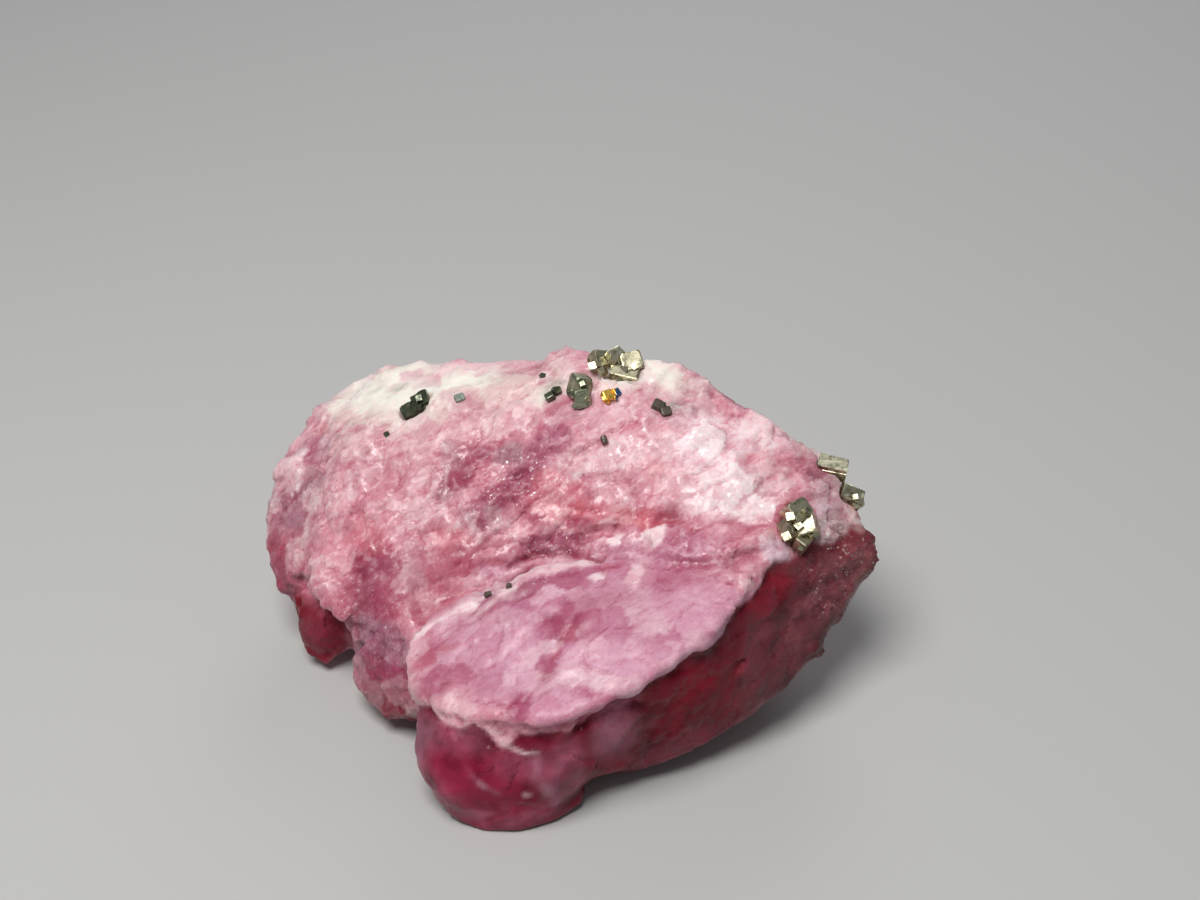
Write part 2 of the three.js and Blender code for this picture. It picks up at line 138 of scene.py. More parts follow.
def strongest(points, zones, edge):
    """The strength of the strongest zone at each point."""
    most = np.zeros(len(points))
    for middle, radii, strength in zones:
        most = np.maximum(most, soft_zone(points, middle, radii, edge) * strength)
    return most


# ---- Mesh helpers ----


def opened(mesh):
    work = bmesh.new()
    work.from_mesh(mesh)
    return work


def write_back(work, mesh):
    work.to_mesh(mesh)
    work.free()


def placed(name, data):
    thing = bpy.data.objects.new(name, data)
    bpy.context.scene.collection.objects.link(thing)
    return thing


def welded_copy(node, name):
    """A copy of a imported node's mesh with its loose triangles merged, in millimetres."""
    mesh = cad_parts[node].data.copy()
    mesh.name = name
    mesh.materials.clear()
    work = opened(mesh)
    bmesh.ops.scale(work, vec=(1 / MM,) * 3, verts=work.verts)
    bmesh.ops.remove_doubles(work, verts=work.verts, dist=WELD)
    write_back(work, mesh)
    return placed(name, mesh)


def apply_modifiers(piece):
    bpy.context.view_layer.update()
    made = bpy.data.meshes.new_from_object(piece.evaluated_get(bpy.context.evaluated_depsgraph_get()))
    piece.modifiers.clear()
    piece.data = made


def read_out(items, key, width, kind):
    flat = np.empty(len(items) * width, dtype=kind)
    items.foreach_get(key, flat)
    return flat.reshape(-1, width)


def points_of(mesh):
    return read_out(mesh.vertices, "co", 3, float)


def normals_of(mesh):
    return read_out(mesh.vertices, "normal", 3, np.float32).astype(float)


def neighbours_of(mesh):
    return read_out(mesh.edges, "vertices", 2, np.int32)


def relaxed(values, edges, rounds, share=1.0):
    """Values averaged with those of the neighbouring points, a number of times."""
    count = len(values)
    links = np.bincount(edges.ravel(), minlength=count)
    one, other = edges.T
    for _ in range(rounds):
        total = np.zeros_like(values)
        for axis, column in enumerate(values.T):
            total[:, axis] = np.bincount(one, column[other], count) + np.bincount(other, column[one], count)
        values = values + share * (total / links[:, None] - values)
    return values


def store(mesh, name, values):
    layer = mesh.attributes.new(name, "FLOAT", "POINT")
    layer.data.foreach_set("value", values.astype(np.float32))


def store_colour(mesh, name, values):
    layer = mesh.attributes.new(name, "FLOAT_COLOR", "POINT")
    rgba = np.concatenate([values, np.ones((len(values), 1))], axis=1)
    layer.data.foreach_set("color", rgba.astype(np.float32).ravel())


# ---- The rhodochrosite mass ----

# Colours of the mineral, as linear red, green and blue.
MINERAL = {
    "crust": (0.90, 0.88, 0.78),
    "sand": (0.76, 0.60, 0.56),
    "moss": (0.30, 0.34, 0.26),
    "frost": (0.92, 0.75, 0.77),
    "pale": (0.81, 0.51, 0.55),
    "pink": (0.66, 0.28, 0.345),
    "salmon": (0.72, 0.225, 0.265),
    "rose": (0.48, 0.11, 0.17),
    "garnet": (0.34, 0.055, 0.12),
    "plum": (0.42, 0.12, 0.20),
    "lavender": (0.51, 0.185, 0.29),
    "orchid": (0.68, 0.36, 0.48),
    "cerise": (0.40, 0.085, 0.165),
    "lilac": (0.70, 0.50, 0.60),
    "mauve": (0.36, 0.13, 0.20),
    "crimson": (0.28, 0.014, 0.052),
    "ruby": (0.22, 0.006, 0.020),
    "wine": (0.17, 0.004, 0.019),
    "haze": (0.24, 0.045, 0.075),
    "mist": (0.45, 0.165, 0.24),
    "brown": (0.235, 0.10, 0.105),
    "umber": (0.10, 0.018, 0.028),
    "dusk": (0.40, 0.20, 0.24),
    "stone": (0.36, 0.26, 0.25),
}

LEFT_LOBE = (-11.3, 0.0, 1.9)  # the middle of the small glassy lobe at the left end

# Stretches of the surface that break in their own way: (middle, radii, softness of the edge).
SHELF = ((0.4, -5.6, 6.7), (8.6, 4.8, 2.3), 0.15)
FRONT_LOBE = ((-2.6, -8.4, 2.2), (4.6, 2.8, 3.4), 0.2)
GLASSY_LEFT_LOBE = (LEFT_LOBE, (1.7, 2.4, 1.8), 0.2)
SUGARY_END = ((12.4, -1.4, 6.2), (3.0, 3.0, 3.4), 0.4)
CRUSTY_RIDGE = ((-5.6, 7.4, 10.5), (5.6, 3.0, 1.6), 0.3)
CLEAN_BREAK = ((-6.0, -1.1, 6.1), (2.4, 1.6, 1.8), 0.3)
HOLLOW_FACE = ((-2.6, 2.5, 9.8), (2.0, 1.3, 1.4), 0.4)
# The lobes are rounded over these stretches.
WORN_SMOOTH = [((-2.7, -8.6, 2.3), (4.6, 3.0, 2.9), 0.25), (LEFT_LOBE, (1.8, 2.4, 1.9), 0.2)]

# Lines that have both a colour and a depth. The dark colour along them is painted shade in the crevice.
CRACK = [(-2.3, -0.95, 6.7), (-1.4, -0.8, 7.0), (-0.2, -0.8, 7.45), (0.8, -1.2, 7.6), (1.5, -1.8, 7.85)]
NOTCH = [(4.0, -0.6, 9.1), (4.6, -0.7, 9.1)]
SLIT = [(1.3, -2.3, 7.9), (2.2, -2.5, 8.0)]

# Where each colour lies: (colour, middle, radii, strength), laid one over another in this order.
ZONES = [
    # the left end
    ("sand", (-9.6, 5.9, 9.0), (2.2, 2.0, 1.2), 0.75),
    ("dusk", (-11.9, 3.5, 6.2), (1.6, 2.6, 2.4), 0.7),
    ("plum", (-10.8, 5.3, 8.3), (1.2, 1.0, 0.8), 0.85),
    ("mauve", (-12.1, 3.3, 6.3), (0.8, 0.9, 0.9), 0.5),
    ("pale", (-12.2, 4.8, 7.4), (0.9, 1.1, 0.8), 0.7),
    ("pale", (-10.0, 2.6, 7.6), (0.9, 1.0, 1.0), 0.45),
    ("salmon", (-9.6, 1.3, 6.4), (0.9, 0.9, 0.9), 0.25),
    ("rose", (-12.3, 1.5, 4.4), (1.1, 1.5, 1.8), 0.95),
    ("garnet", (-12.6, 1.4, 3.4), (0.9, 1.6, 1.4), 0.7),
    ("rose", (-7.8, -0.7, 5.9), (1.7, 1.4, 1.6), 1.0),
    ("garnet", (-8.0, -0.9, 5.4), (1.3, 1.3, 1.4), 0.8),
    ("salmon", (-4.9, -0.4, 6.8), (1.6, 1.1, 1.1), 0.6),
    ("rose", (-6.2, -1.3, 5.8), (1.7, 1.2, 1.3), 1.0),
    ("garnet", (-7.3, -0.9, 5.8), (1.4, 1.2, 1.3), 0.55),
    ("pale", (-10.4, 0.2, 5.2), (0.9, 0.7, 0.8), 0.6),
    ("rose", (-9.8, -0.9, 4.2), (1.2, 0.9, 0.8), 0.6),
    ("ruby", LEFT_LOBE, (1.7, 2.4, 1.9), 1.0),
    ("haze", (-11.0, -0.3, 2.2), (0.9, 1.5, 1.2), 0.5),
    ("mauve", (-7.9, -2.9, 3.4), (2.2, 2.0, 1.6), 1.0),
    # Painted shade as well as the wedge's own deep colour: it turns garnet and ruby towards its bottom,
    # against the pale floor's bounce light.
    ("garnet", (-7.2, -4.0, 1.9), (3.0, 2.4, 1.7), 1.0),
    ("ruby", (-7.0, -4.4, 0.9), (3.0, 2.4, 1.7), 0.8),
    # the broad front face
    ("pale", (-6.5, 3.3, 9.1), (1.6, 1.1, 0.9), 0.5),
    ("pale", (-6.3, 1.4, 8.2), (1.3, 0.9, 0.9), 0.45),
    ("salmon", (-8.2, 1.0, 7.0), (1.2, 0.9, 1.0), 0.35),
    ("dusk", (-5.0, 1.5, 8.8), (0.6, 0.7, 0.6), 0.75),
    ("plum", (-6.2, -0.4, 6.9), (0.9, 0.7, 0.7), 0.5),
    ("pale", (-5.6, 4.2, 10.0), (1.4, 1.0, 0.8), 0.6),
    ("rose", (-4.6, 2.6, 9.5), (1.0, 1.1, 0.9), 1.0),
    ("rose", (-1.2, 0.7, 8.8), (1.3, 0.8, 0.8), 1.0),
    ("garnet", (-1.3, 0.8, 8.8), (0.9, 0.6, 0.6), 0.35),
    ("pale", (-2.5, -0.2, 8.0), (1.6, 0.5, 0.7), 0.5),
    ("rose", (-4.1, -0.6, 6.8), (1.3, 0.8, 0.8), 0.9),
    ("salmon", (-0.6, 1.0, 9.2), (1.6, 0.8, 0.8), 0.5),
    ("salmon", (0.6, 0.2, 8.8), (1.6, 0.5, 0.5), 0.8),
    ("rose", (0.4, 0.0, 8.6), (1.0, 0.5, 0.5), 1.0),
    ("garnet", (-0.6, -0.6, 7.6), (1.4, 0.5, 0.6), 0.9),
    ("salmon", (3.0, -0.4, 9.05), (1.7, 0.4, 0.4), 0.65),
    ("rose", (4.4, -0.6, 9.1), (0.5, 0.5, 0.5), 0.8),
    # the middle and the crown
    ("pale", (-2.7, 3.8, 10.7), (1.8, 0.7, 0.7), 0.5),
    ("pale", (1.4, 1.6, 10.3), (1.5, 1.0, 0.9), 0.55),
    ("plum", (0.4, 3.6, 11.6), (1.3, 0.6, 0.6), 0.4),
    ("dusk", (4.8, 3.2, 11.8), (1.2, 0.6, 0.5), 0.75),
    ("mauve", (5.2, 2.7, 11.6), (0.9, 0.4, 0.4), 0.6),
    ("brown", (5.8, 4.6, 12.0), (0.9, 0.7, 0.6), 0.35),
    ("umber", (5.0, 3.2, 11.9), (0.6, 0.35, 0.4), 0.5),
    ("pale", (3.0, 1.7, 10.9), (1.3, 1.1, 0.8), 0.7),
    # Painted highlight with the white mineral: the plateau that faces up to the key light is laid pale and
    # frosted.
    ("pale", (6.6, 1.2, 10.8), (3.4, 2.6, 1.6), 0.8),
    ("frost", (6.1, 1.5, 11.1), (1.6, 1.5, 1.0), 1.0),
    ("frost", (6.6, 0.4, 10.3), (1.5, 1.0, 0.9), 0.9),
    ("frost", (8.1, 2.4, 11.1), (1.3, 0.9, 0.8), 0.6),
    ("frost", (6.9, -0.4, 9.7), (1.9, 0.9, 0.8), 0.95),
    ("salmon", (8.9, 1.2, 10.3), (0.7, 0.6, 0.5), 0.35),
    ("salmon", (7.8, 1.4, 10.7), (0.6, 0.3, 0.4), 0.4),
    ("salmon", (3.6, 1.0, 10.2), (0.7, 0.8, 0.7), 0.4),
    # the right end
    ("pale", (8.8, 3.6, 10.7), (1.8, 1.1, 1.0), 0.7),
    ("sand", (10.3, 2.9, 9.8), (1.5, 1.3, 1.0), 0.6),
    ("brown", (12.0, -0.4, 7.0), (1.6, 2.2, 2.4), 0.85),
    ("dusk", (10.8, 1.4, 9.2), (1.3, 1.6, 1.0), 0.9),
    ("lilac", (10.7, 0.1, 8.9), (0.7, 0.5, 0.5), 0.6),
    ("stone", (10.9, -0.3, 8.5), (1.0, 0.9, 0.7), 0.75),
    # the shelf
    ("lavender", (0.4, -5.2, 7.0), (8.0, 4.2, 2.2), 1.0),
    ("lavender", (3.4, -2.0, 8.4), (4.4, 1.2, 0.8), 0.8),
    ("dusk", (-2.6, -2.8, 7.2), (1.6, 0.6, 0.6), 0.55),
    ("cerise", (-3.6, -3.6, 6.7), (0.9, 0.7, 0.6), 0.4),
    ("orchid", (-3.2, -5.2, 6.5), (1.8, 1.4, 0.8), 0.5),
    ("orchid", (-1.8, -6.2, 6.6), (0.8, 1.5, 0.8), 0.8),
    ("orchid", (2.4, -7.0, 6.9), (2.8, 1.0, 0.9), 0.75),
    ("orchid", (-0.3, -8.5, 6.1), (1.2, 0.6, 0.6), 0.9),
    ("orchid", (5.2, -4.8, 7.8), (2.2, 1.1, 0.7), 0.6),
    ("frost", (1.2, -7.6, 6.5), (1.4, 0.4, 0.5), 0.5),
    ("cerise", (-5.1, -5.1, 5.8), (0.7, 0.45, 0.5), 0.8),
    ("cerise", (-5.2, -6.5, 5.4), (0.8, 0.8, 0.7), 0.85),
    ("cerise", (0.15, -5.2, 7.4), (0.75, 1.0, 0.6), 1.0),
    ("cerise", (0.8, -4.3, 7.6), (0.5, 0.6, 0.5), 0.7),
    ("cerise", (-0.6, -7.0, 6.7), (0.45, 0.7, 0.6), 1.0),
    ("cerise", (-1.9, -8.3, 5.9), (0.5, 0.8, 0.7), 1.0),
    ("cerise", (2.3, -4.4, 7.9), (0.9, 0.7, 0.5), 0.7),
    ("cerise", (4.6, -3.6, 8.1), (1.4, 0.5, 0.5), 0.4),
    ("orchid", (-0.6, -3.6, 7.4), (0.8, 0.5, 0.5), 0.6),
    ("cerise", (0.6, -2.8, 7.7), (1.3, 0.5, 0.5), 0.45),
    ("frost", (3.0, -3.0, 8.05), (0.22, 0.7, 0.4), 0.95),
    ("frost", (1.4, -2.95, 7.85), (0.4, 0.25, 0.3), 0.85),
    ("lilac", (8.6, -2.2, 8.5), (0.6, 0.5, 0.5), 0.8),
    ("frost", (3.7, -1.3, 8.7), (0.65, 0.4, 0.45), 1.0),
    ("frost", (2.0, -1.0, 8.2), (0.35, 0.35, 0.35), 0.95),
    ("orchid", (-2.9, -1.0, 6.5), (1.0, 0.35, 0.4), 0.6),
]

# Drawn-out patches and broken white bands: (colour, points along it, half width, strength).
BANDS = [
    ("plum", [(-2.2, 1.5, 9.4), (-1.0, 2.2, 10.2), (-0.3, 2.7, 10.8)], 0.6, 0.85),
    ("garnet", [(-3.7, 0.5, 8.4), (-2.9, 0.9, 8.9), (-1.9, 1.6, 9.5)], 0.75, 0.85),
    ("frost", [(-3.6, 1.9, 9.3), (-2.6, 2.3, 9.8), (-1.2, 3.0, 10.6), (-0.3, 3.4, 11.1)], 0.16, 0.6),
    ("garnet", [(-4.9, 2.9, 9.6), (-4.6, 2.4, 9.4), (-4.5, 2.0, 9.2)], 0.6, 0.75),
    ("garnet", [(-3.7, 2.95, 10.0), (-3.3, 2.9, 10.05)], 0.42, 0.85),
    ("dusk", [(-2.7, 2.6, 10.1), (-2.2, 2.5, 10.15)], 0.38, 0.95),
    ("frost", [(-4.3, 1.6, 9.1), (-4.0, 0.8, 8.6), (-3.8, 0.2, 8.0)], 0.22, 0.55),
    ("frost", [(0.1, 1.2, 9.7), (1.2, 1.7, 10.3), (2.4, 2.4, 11.1)], 0.24, 0.5),
    ("frost", [(1.2, 0.7, 9.6), (2.3, 1.2, 10.3), (3.2, 1.4, 10.6)], 0.2, 0.45),
    ("dusk", [(-12.4, 4.0, 6.8), (-11.5, 3.8, 7.2), (-10.6, 4.0, 7.9)], 0.3, 0.6),
    ("frost", [(-11.8, 5.4, 7.7), (-11.6, 4.6, 7.6), (-12.2, 3.8, 6.9)], 0.24, 0.85),
    ("sand", [(-10.6, 3.4, 7.6), (-11.2, 2.2, 6.4), (-11.4, 1.4, 5.4)], 0.3, 0.45),
    ("frost", [(-9.4, 3.9, 8.6), (-9.2, 2.4, 7.8), (-9.4, 1.0, 6.6)], 0.2, 0.35),
    ("frost", [(-7.6, 0.6, 6.9), (-6.4, 0.7, 7.6), (-5.2, 0.9, 8.3)], 0.16, 0.4),
    ("rose", [(0.2, -5.6, 7.3), (-0.3, -6.4, 6.9)], 0.3, 0.6),
    ("rose", [(-6.0, -5.4, 5.4), (-5.2, -5.2, 5.8), (-4.5, -5.0, 6.0)], 0.3, 0.7),
    ("plum", [(-3.6, -3.9, 6.7), (-2.9, -3.2, 7.0), (-2.2, -3.0, 7.2)], 0.3, 0.6),
    ("salmon", [(-0.8, 0.5, 8.6), (0.6, 0.2, 8.8), (1.9, -0.1, 9.0), (3.2, -0.4, 9.05), (4.4, -0.7, 9.05)],
     0.35, 0.7),
    ("frost", [(-2.3, -2.6, 7.1), (-1.0, -2.2, 7.45), (0.0, -2.1, 7.6), (1.3, -2.0, 7.85)], 0.26, 0.75),
    ("frost", [(-6.2, -4.0, 5.4), (-5.0, -3.7, 6.2), (-3.7, -3.1, 6.75), (-2.3, -2.6, 7.1)], 0.14, 0.75),
]

# The whitish crust along the ridge: (colour, middle, radii, strength). It thins out raggedly.
CRUST = [
    ("sand", (-6.4, 6.6, 10.2), (4.6, 2.6, 1.9), 0.8),
    ("sand", (-1.5, 5.6, 11.6), (2.6, 1.4, 1.2), 0.7),
    ("crust", (-6.8, 7.4, 10.3), (3.5, 2.2, 1.3), 1.0),
    ("crust", (-4.6, 6.3, 10.8), (1.8, 0.9, 0.7), 0.9),
    ("crust", (-9.4, 7.9, 9.2), (1.7, 1.5, 1.1), 0.85),
    ("pale", (-3.4, 8.4, 11.0), (3.2, 1.0, 0.9), 0.9),
    ("crust", (-0.9, 4.6, 11.5), (1.0, 0.6, 0.5), 0.75),
    ("crust", (3.4, 4.9, 12.3), (1.8, 0.9, 0.8), 1.0),
    ("crust", (4.2, 3.9, 12.0), (0.8, 0.7, 0.6), 0.5),
    ("crust", (11.4, 2.4, 9.4), (0.6, 1.0, 1.0), 0.6),
    ("sand", (12.2, 0.6, 8.2), (0.6, 1.0, 0.9), 0.8),
    ("sand", (13.0, -0.4, 6.8), (0.6, 1.4, 1.8), 0.6),
    ("moss", (-7.6, 7.1, 10.0), (0.35, 0.25, 0.3), 0.6),
    ("moss", (-8.7, 7.5, 9.6), (0.5, 0.3, 0.3), 0.35),
    ("moss", (-6.4, 7.1, 10.4), (0.22, 0.2, 0.25), 0.7),
    ("moss", (-7.5, 5.5, 9.5), (0.5, 0.35, 0.3), 0.35),
    ("moss", (-0.5, 5.0, 11.7), (0.6, 0.45, 0.4), 0.5),
    ("moss", (-1.2, -1.9, 7.45), (0.5, 0.22, 0.3), 0.45),
    ("moss", (4.1, 3.3, 11.7), (0.6, 0.4, 0.4), 0.5),
    ("mauve", (-10.7, 3.6, 7.8), (0.3, 0.3, 0.3), 0.6),
]

# Under the shelf's rim the mineral is clear and dark: partly its own deep colour, partly painted shade on
# the faces below the rim. The rim's height, from left to right: (x, z).
SHELF_RIM = [
    (-6.6, 3.7), (-5.3, 4.7), (-3.1, 5.1), (-2.5, 4.6), (-2.1, 4.6), (-1.6, 5.0), (-0.9, 5.4), (0.2, 5.1),
    (0.8, 5.3), (1.3, 5.8), (2.2, 6.4), (3.4, 6.7), (5.4, 7.2), (6.9, 7.7), (8.0, 8.1), (9.4, 8.4),
]
# The clear mineral's colours under the rim: partly its deep colour, partly painted shade.
CLEAR_AND_SHADED_ZONES = [
    ("crimson", (-2.6, -8.6, 2.4), (3.4, 2.6, 2.8), 1.0),
    # Painted light: the mist on the front lobe's left and bottom edges stands for light glowing through its
    # thin rim.
    ("mist", (-6.3, -7.4, 3.2), (1.0, 2.2, 2.8), 0.85),
    ("mist", (-4.6, -8.2, 4.4), (2.2, 1.0, 1.0), 0.6),
    ("mist", (-5.4, -8.6, 1.4), (1.2, 1.4, 1.2), 0.4),
    ("mist", (-1.4, -9.0, 3.6), (1.4, 0.8, 0.9), 0.35),
    ("mist", (2.1, -7.9, 4.6), (1.0, 1.2, 1.8), 0.75),
    ("mist", (0.2, -8.8, 2.8), (0.8, 0.8, 1.8), 0.5),
    ("mist", (-3.0, -9.4, 0.8), (3.0, 1.2, 0.5), 0.4),
    ("ruby", (5.2, -6.0, 4.6), (3.6, 2.4, 1.8), 0.8),
    ("haze", (5.0, -6.6, 1.6), (3.8, 1.4, 1.0), 0.75),
    ("brown", (12.0, -3.0, 3.8), (4.8, 5.4, 4.5), 1.0),
    ("haze", (8.0, -4.2, 5.2), (0.9, 1.6, 1.8), 0.6),
    ("umber", (9.4, -3.9, 4.2), (2.0, 2.2, 2.2), 0.7),
    ("ruby", (8.6, -3.2, 7.0), (1.4, 1.2, 1.0), 0.7),
    ("haze", (10.6, -2.4, 6.4), (1.4, 1.4, 1.6), 0.35),
]

# Thin veils, healed cracks, bright edges, a painted highlight and painted shade along crevices: (colour,
# points along it, half width, strength).
VEILS = [
    ("mist", [(-4.6, -8.8, 4.1), (-3.9, -9.1, 3.6), (-3.5, -9.5, 3.1), (-3.1, -9.7, 2.8)], 0.13, 0.85),
    ("dusk", [(-3.3, -9.6, 2.95), (-3.0, -9.8, 2.75), (-2.5, -9.9, 2.5)], 0.14, 0.9),
    ("mist", [(-1.0, -9.3, 3.9), (-0.9, -9.5, 3.2), (-0.5, -9.4, 2.3), (-0.2, -9.1, 1.2)], 0.26, 0.85),
    ("dusk", [(-0.6, -9.5, 2.6), (-0.5, -9.4, 2.2)], 0.22, 0.8),
    ("frost", [(-1.45, -9.7, 2.35), (-1.25, -9.7, 2.3)], 0.11, 0.6),
    # A painted highlight: the bright streak across the top of the front lobe.
    ("frost", [(-2.05, -9.0, 4.4), (-1.7, -9.1, 4.25), (-1.4, -9.2, 4.2), (-0.9, -9.3, 4.25)], 0.08, 1.0),
    ("mist", [(-2.3, -9.8, 1.9), (-2.2, -9.7, 1.2), (-2.1, -9.6, 0.7)], 0.2, 0.4),
    ("haze", [(3.4, -7.7, 5.6), (3.7, -7.3, 4.6), (3.4, -7.2, 3.4)], 0.16, 0.5),
    ("haze", [(8.4, -3.2, 7.2), (8.2, -4.0, 5.6), (7.4, -5.0, 4.4), (6.9, -5.6, 3.2)], 0.22, 0.6),
    ("frost", [(-2.8, -8.3, 5.1), (-2.4, -8.7, 4.7), (-2.2, -8.9, 4.5)], 0.2, 0.45),
    ("frost", [(-6.4, -4.2, 5.3), (-5.2, -3.7, 6.1), (-3.6, -3.1, 6.8), (-2.3, -2.3, 7.2)], 0.15, 0.95),
    ("frost", [(-2.3, -2.3, 7.2), (-1.2, -1.9, 7.4), (0.3, -1.7, 7.6), (1.3, -1.7, 7.85)], 0.22, 0.95),
    ("frost", [(-5.0, -4.4, 6.1), (-4.2, -4.0, 6.4), (-3.2, -3.5, 6.8), (-2.2, -2.8, 7.05)], 0.13, 0.7),
    # Painted shade: the dark lines below darken the slot at the left end, the step under the back flake,
    # and the slit, notch and crack.
    ("garnet", [(-11.3, 1.0, 5.2), (-11.5, 0.9, 4.2)], 0.16, 0.95),
    ("garnet", [(5.0, -2.3, 8.5), (5.8, -2.8, 8.3), (6.8, -2.9, 8.3), (7.7, -2.5, 8.5)], 0.18, 0.5),
    ("rose", SLIT, 0.12, 0.85),
    ("garnet", NOTCH, 0.2, 0.9),
    ("crimson", CRACK, 0.16, 0.9),
    ("frost", [(-5.0, 2.2, 9.1), (-5.1, 1.4, 8.7), (-5.5, 0.7, 8.1)], 0.09, 0.5),
    ("frost", [(1.7, 3.3, 11.6), (1.9, 2.4, 11.0), (1.9, 1.8, 10.8)], 0.10, 0.5),
]

# Fine crevices and sunk lines: (points along it, half width, depth). A depth below 0 is a raised lip.
CREVICES = [
    (CRACK, 0.2, 0.24),
    ([(-0.2, 0.5, 8.75), (1.5, 0.0, 9.0), (3.1, -0.4, 9.05)], 0.14, 0.09),
    (NOTCH, 0.2, 0.2),
    ([(-11.2, 1.2, 5.4), (-11.5, 0.9, 4.2)], 0.18, 0.25),
    ([(-5.1, 2.2, 9.0), (-5.3, 1.4, 8.6), (-5.7, 0.7, 8.0)], 0.10, 0.10),
    ([(-9.0, 2.9, 8.4), (-9.2, 1.9, 7.4), (-9.6, 1.0, 6.4)], 0.14, 0.12),
    ([(5.2, 2.9, 11.8), (3.8, 2.9, 11.6), (2.9, 3.2, 11.6)], 0.14, 0.12),
    ([(6.9, -4.6, 6.4), (6.5, -5.6, 4.4), (5.6, -6.2, 2.9)], 0.16, 0.10),
    ([(-6.3, -4.3, 5.4), (-5.6, -3.3, 5.9), (-4.2, -3.1, 6.5), (-3.8, -3.0, 6.6)], 0.25, -0.14),
    ([(-1.8, -2.4, 7.2), (-0.4, -2.0, 7.5), (0.9, -2.2, 7.8)], 0.25, -0.10),
    (SLIT, 0.14, 0.12),
    ([(-4.0, -4.0, 6.6), (-2.6, -3.4, 7.1), (-1.0, -3.4, 7.4)], 0.2, 0.08),
    ([(1.2, -4.2, 7.6), (0.2, -5.6, 7.3), (-0.8, -7.3, 6.5)], 0.3, 0.09),
]

# Where the break is granular and each grain glints, by its leaning faces and by painted white glints:
# (middle, radii, strength).
GLINTING = [
    ((-2.2, 1.5, 9.5), (2.2, 1.1, 1.2), 1.0),
    ((-0.4, -0.5, 7.7), (2.2, 0.6, 0.8), 0.8),
    ((-5.0, 0.6, 7.8), (2.4, 1.4, 1.4), 0.5),
    ((-10.2, 2.8, 7.0), (1.2, 1.4, 1.4), 0.7),
    ((1.6, 1.6, 10.2), (2.4, 1.6, 1.4), 0.4),
    ((11.6, -1.4, 6.8), (2.2, 2.0, 2.4), 0.8),
    ((-1.6, -2.6, 7.3), (1.2, 0.5, 0.5), 0.6),
    ((-8.2, -2.0, 4.0), (1.8, 1.2, 1.2), 0.5),
]


def laid_over(colours, weight, name):
    return colours * (1 - weight[:, None]) + np.array(MINERAL[name]) * weight[:, None]


def zones_laid_over(colours, points, zones, edge):
    for name, middle, radii, strength in zones:
        colours = laid_over(colours, soft_zone(points, middle, radii, edge) * strength, name)
    return colours


def distance_to_line(points, line):
    nearest = np.full(len(points), np.inf)
    for start, end in zip(np.array(line[:-1]), np.array(line[1:])):
        along = end - start
        share = unit((points - start) @ along / (along @ along))
        nearest = np.minimum(nearest, np.linalg.norm(points - start - share[:, None] * along, axis=1))
    return nearest


RIM_BACK = -0.6  # the shelf's rim lies in front of this y
SCALLOP_LENGTH, SCALLOP_DEPTH = 1.7, 0.35  # the clear mineral hangs from the rim in shallow arches
RIM_BLEND = 0.24  # height over which the shelf's mineral turns into the clear one
SHELF_LEFT, RIGHT_END = -6.9, 9.4  # where the clear mineral starts, and where its border turns back
WEDGE_RIGHT, WEDGE_FRONT = -5.4, -5.0  # the left wedge stands in front of it up to here


def distance_to_rim(points):
    x, y, z = points.T
    return np.where(y < RIM_BACK, np.abs(z - np.interp(x, *zip(*SHELF_RIM))), FAR)


def under_the_rim(points):
    """1 on the clear dark mineral below the shelf's rim, 0 elsewhere. The dark is partly the mineral's own
    colour and partly painted shade.
    """
    x, y, z = points.T
    rim = np.interp(x, *zip(*SHELF_RIM)) - SCALLOP_DEPTH * np.abs(np.sin(math.pi * x / SCALLOP_LENGTH))
    below = unit((rim - z) / RIM_BLEND + 0.5)
    # Round the right end it runs out raggedly towards the back.
    back = RIM_BACK + 2.6 * unit((x - RIGHT_END) / 1.5) * (1 + 0.8 * layered_noise(points, 2.0, 76, 3))
    in_front = unit((back - y) / np.clip(x - 8.4, 1, 2))
    inside = unit((x - SHELF_LEFT) / 0.5)
    behind_wedge = np.where(x < WEDGE_RIGHT, unit((WEDGE_FRONT - y) / 0.6), 1)
    return below * in_front * inside * behind_wedge


